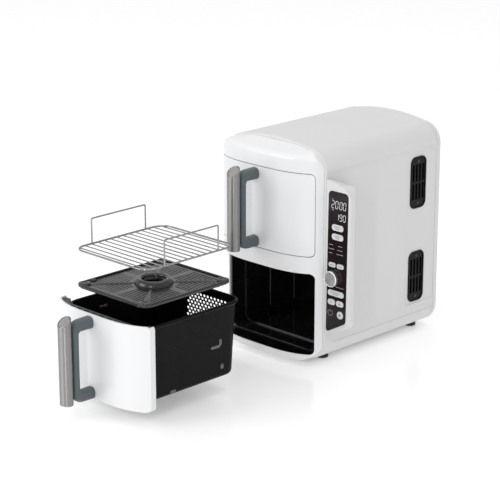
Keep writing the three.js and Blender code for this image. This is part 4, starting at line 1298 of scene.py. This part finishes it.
def make_panel_print():
    """Display digits, generic label bars and the power sign, printed on the glass."""
    face = CONSOLE["front"] - GLASS_PROUD
    marks = []
    for i, value in enumerate("2000"):
        marks += digit(value, 100.5 + i * 8.1 + (1.0 if i > 1 else 0), 284.5, 5.2, 12.5, face)
    for i, value in enumerate("190"):
        marks += digit(value, 110.5 + i * 7.6, 265, 4.8, 11, face)
    finish_piece(merged(marks), "control_panel_display", "cabinet", "print_white")
    make_panel_labels(face)


def make_panel_labels(face):
    """Plain bars in place of words, and the power sign."""
    marks = []
    rows = (((96, 104), (116, 125)), ((95, 107), (114, 125)), ((96, 103), (113, 127)))
    for row, (left, right) in enumerate(rows):
        z = 221 - row * 7.2
        for x0, x1 in (left, right):
            marks.append(stroke(x0, z, x1, z, face, 0.6))
    marks.append(stroke(96, 150, 129, 149.2, face, 0.5))
    marks.append(stroke(101, 299.6, 104, 299.6, face, 0.6))
    marks.append(stroke(101.5, 281.2, 105.5, 281.2, face, 0.6))
    x, z, r = 100.2, 102, 5.2
    ring = arc(x, z, r, 125, 415, 22)
    for (x0, z0), (x1, z1) in zip(ring, ring[1:]):
        marks.append(stroke(x0, z0, x1, z1, face, 0.5))
    marks.append(stroke(x, z + 1.2, x, z + 5.4, face, 0.5))
    finish_piece(merged(marks), "control_panel_labels", "cabinet", "print_grey")


def make_dial():
    """A turned knob: a fluted skirt, a bright chamfer and a dished spun face."""
    x, z, radius = DIAL
    front = CONSOLE["front"]
    face = front - DIAL_PROUD
    flutes = 60
    rings = []
    for y, reach, flute in (
        (front - 1, radius - 0.6, 0),
        (front - 1.6, radius, 0),
        (front - 2.2, radius, 0.22),
        (face + 1.9, radius - 0.2, 0.22),
        (face + 1.3, radius - 0.25, 0),
        (face + 0.5, radius - 0.6, 0),
        (face, radius - 1.4, 0),
        (face + 0.3, radius - 1.9, 0),
        (face + 0.5, radius * 0.5, 0),
        (face + 0.5, 0.4, 0),
    ):
        ring = []
        for k in range(flutes * 2):
            turn = math.tau * k / (flutes * 2)
            r = reach - (flute if k % 2 else 0)
            ring.append((x + r * math.cos(turn), y, z + r * math.sin(turn)))
        rings.append(ring)
    finish_piece(loft("dial", rings), "control_dial_knob", "dial", "spun_steel", "control_dial", angle=28)
    outline = rounded(x - 0.4, z + radius - 5.4, x + 0.4, z + radius - 3.0, 0.35, steps=4)
    pointer = prism("pointer", outline, face, face + 0.7, "y")
    finish_piece(pointer, "control_dial_pointer", "dial", "print_dark")
    ring = []
    for reach, grow in ((-0.4, 1.0), (-0.8, 0.9), (-0.9, 0.5), (-0.6, 0.2), (-0.3, 0.2)):
        ring.append([(a, front + reach, b) for a, b in oval(x, z, radius + grow, radius + grow, 64)])
    collar = loft("collar", ring, closed=True)
    finish_piece(collar, "control_dial_collar", "cabinet", "black_plastic", angle=60)


def make_small_parts():
    """CAD pieces whose shape is already right get rounded edges."""
    parts = []
    for side in ("left", "right"):
        for end in ("front", "rear"):
            parts.append((f"foot_{side}_{end}", 0.5, "pad", "cabinet", "rubber"))
    for i in range(1, 5):
        parts.append((f"rear_screw_{i}", 0.15, "head", "cabinet", "chrome"))
    parts.append(("base_pan", 0.6, "sheet", "cabinet", "black_plastic"))
    parts.append(("cord_gland", 0.3, "collar", "cabinet", "black_plastic"))
    for level in ZONES:
        parts.append((f"fan_guard_{level}", 0.3, "plate", "cabinet", "cavity_enamel"))
        parts.append((f"fan_impeller_{level}", 0.2, "wheel", f"fan_{level}", "brushed_steel"))
    for node, width, part, body, slot in parts:
        finish_piece(refined(node, width), f"{node}_{part}", body, slot, node)


# ------------------------------------------------------------------ stage
def area_light(name, at, size, power, aim=(0, 0, 0.18)):
    light = bpy.data.lights.new(name, "AREA")
    light.shape = "RECTANGLE"
    light.size, light.size_y = size
    light.energy = power
    obj = bpy.data.objects.new(name, light)
    obj.location = at
    obj.rotation_euler = (Vector(aim) - Vector(at)).to_track_quat("-Z", "Y").to_euler()
    bpy.context.scene.collection.objects.link(obj)


FLOOR_GLOW = 0.3  # a lit sweep: it keeps the background white while the light on the fryer stays soft
FLOOR_REACH = 14


def make_stage():
    mesh = bpy.data.meshes.new("floor")
    corners = [(x * FLOOR_REACH, y * FLOOR_REACH, 0) for x, y in ((-1, -1), (1, -1), (1, 1), (-1, 1))]
    mesh.from_pydata(corners, [], [(0, 1, 2, 3)])
    floor = bpy.data.objects.new("floor", mesh)
    bpy.context.scene.collection.objects.link(floor)
    material, shader = new_material("floor_white", (0.86, 0.86, 0.865), 0.2)
    shader.inputs["Emission Color"].default_value = (1, 1, 1, 1)
    shader.inputs["Emission Strength"].default_value = FLOOR_GLOW
    drive(material, shader, Roughness=spread(material, noise(material, 6, 2), 0.16, 0.24))
    mesh.materials.append(material)

    world = bpy.data.worlds.new("studio")
    world.use_nodes = True
    world.node_tree.nodes["Background"].inputs["Color"].default_value = (1, 1, 1, 1)
    world.node_tree.nodes["Background"].inputs["Strength"].default_value = 0.7
    bpy.context.scene.world = world
    area_light("key", (-2.3, -4.4, 2.2), (3.0, 2.4), 72)
    area_light("strip", (1.9, -3.7, 1.4), (0.22, 2.4), 27)
    area_light("top", (0.0, 0.2, 3.0), (3.0, 3.0), 22)
    bpy.context.scene.view_settings.view_transform = "Standard"


def make_camera():
    camera = bpy.data.objects.new("camera", bpy.data.cameras.new("camera"))
    camera.data.lens = CAMERA_LENS
    camera.data.sensor_width = 36
    camera.data.clip_end = 50
    camera.location = CAMERA_AT
    camera.rotation_euler = [math.radians(a) for a in CAMERA_TURN]
    bpy.context.scene.collection.objects.link(camera)
    bpy.context.scene.camera = camera


# ------------------------------------------------------------------ assembly
dress_cad_nodes()
make_housing()
make_side_vents()
make_rear_cover()
whole_front = front_block(0, 2.2)
inner_front = front_block(SKIN, 0)
lining_front = front_block(LINER_WALL, 0)
make_bezel(whole_front, inner_front)
for drawer in ZONES:
    make_mouth_lining(drawer, lining_front)
    make_drawer_front(drawer, whole_front, inner_front)
    make_liner(drawer)
    make_cavity_ribs(drawer)
    make_basket(drawer)
    make_insert(drawer)
    make_handle(drawer)
for front in (whole_front, inner_front, lining_front):
    discard(front)
for drawer, plate_body in (("upper", "drawer_upper"), ("lower", "crisper_plate")):
    plate_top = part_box(f"crisper_plate_{drawer}")[1].z / MM - RING["height"]
    make_plate(drawer, plate_body, plate_top, DRAWER_OUT[drawer])
make_bumpers()
make_rack()
make_console()
make_keys()
make_panel_print()
make_dial()
make_small_parts()
make_stage()
make_camera()
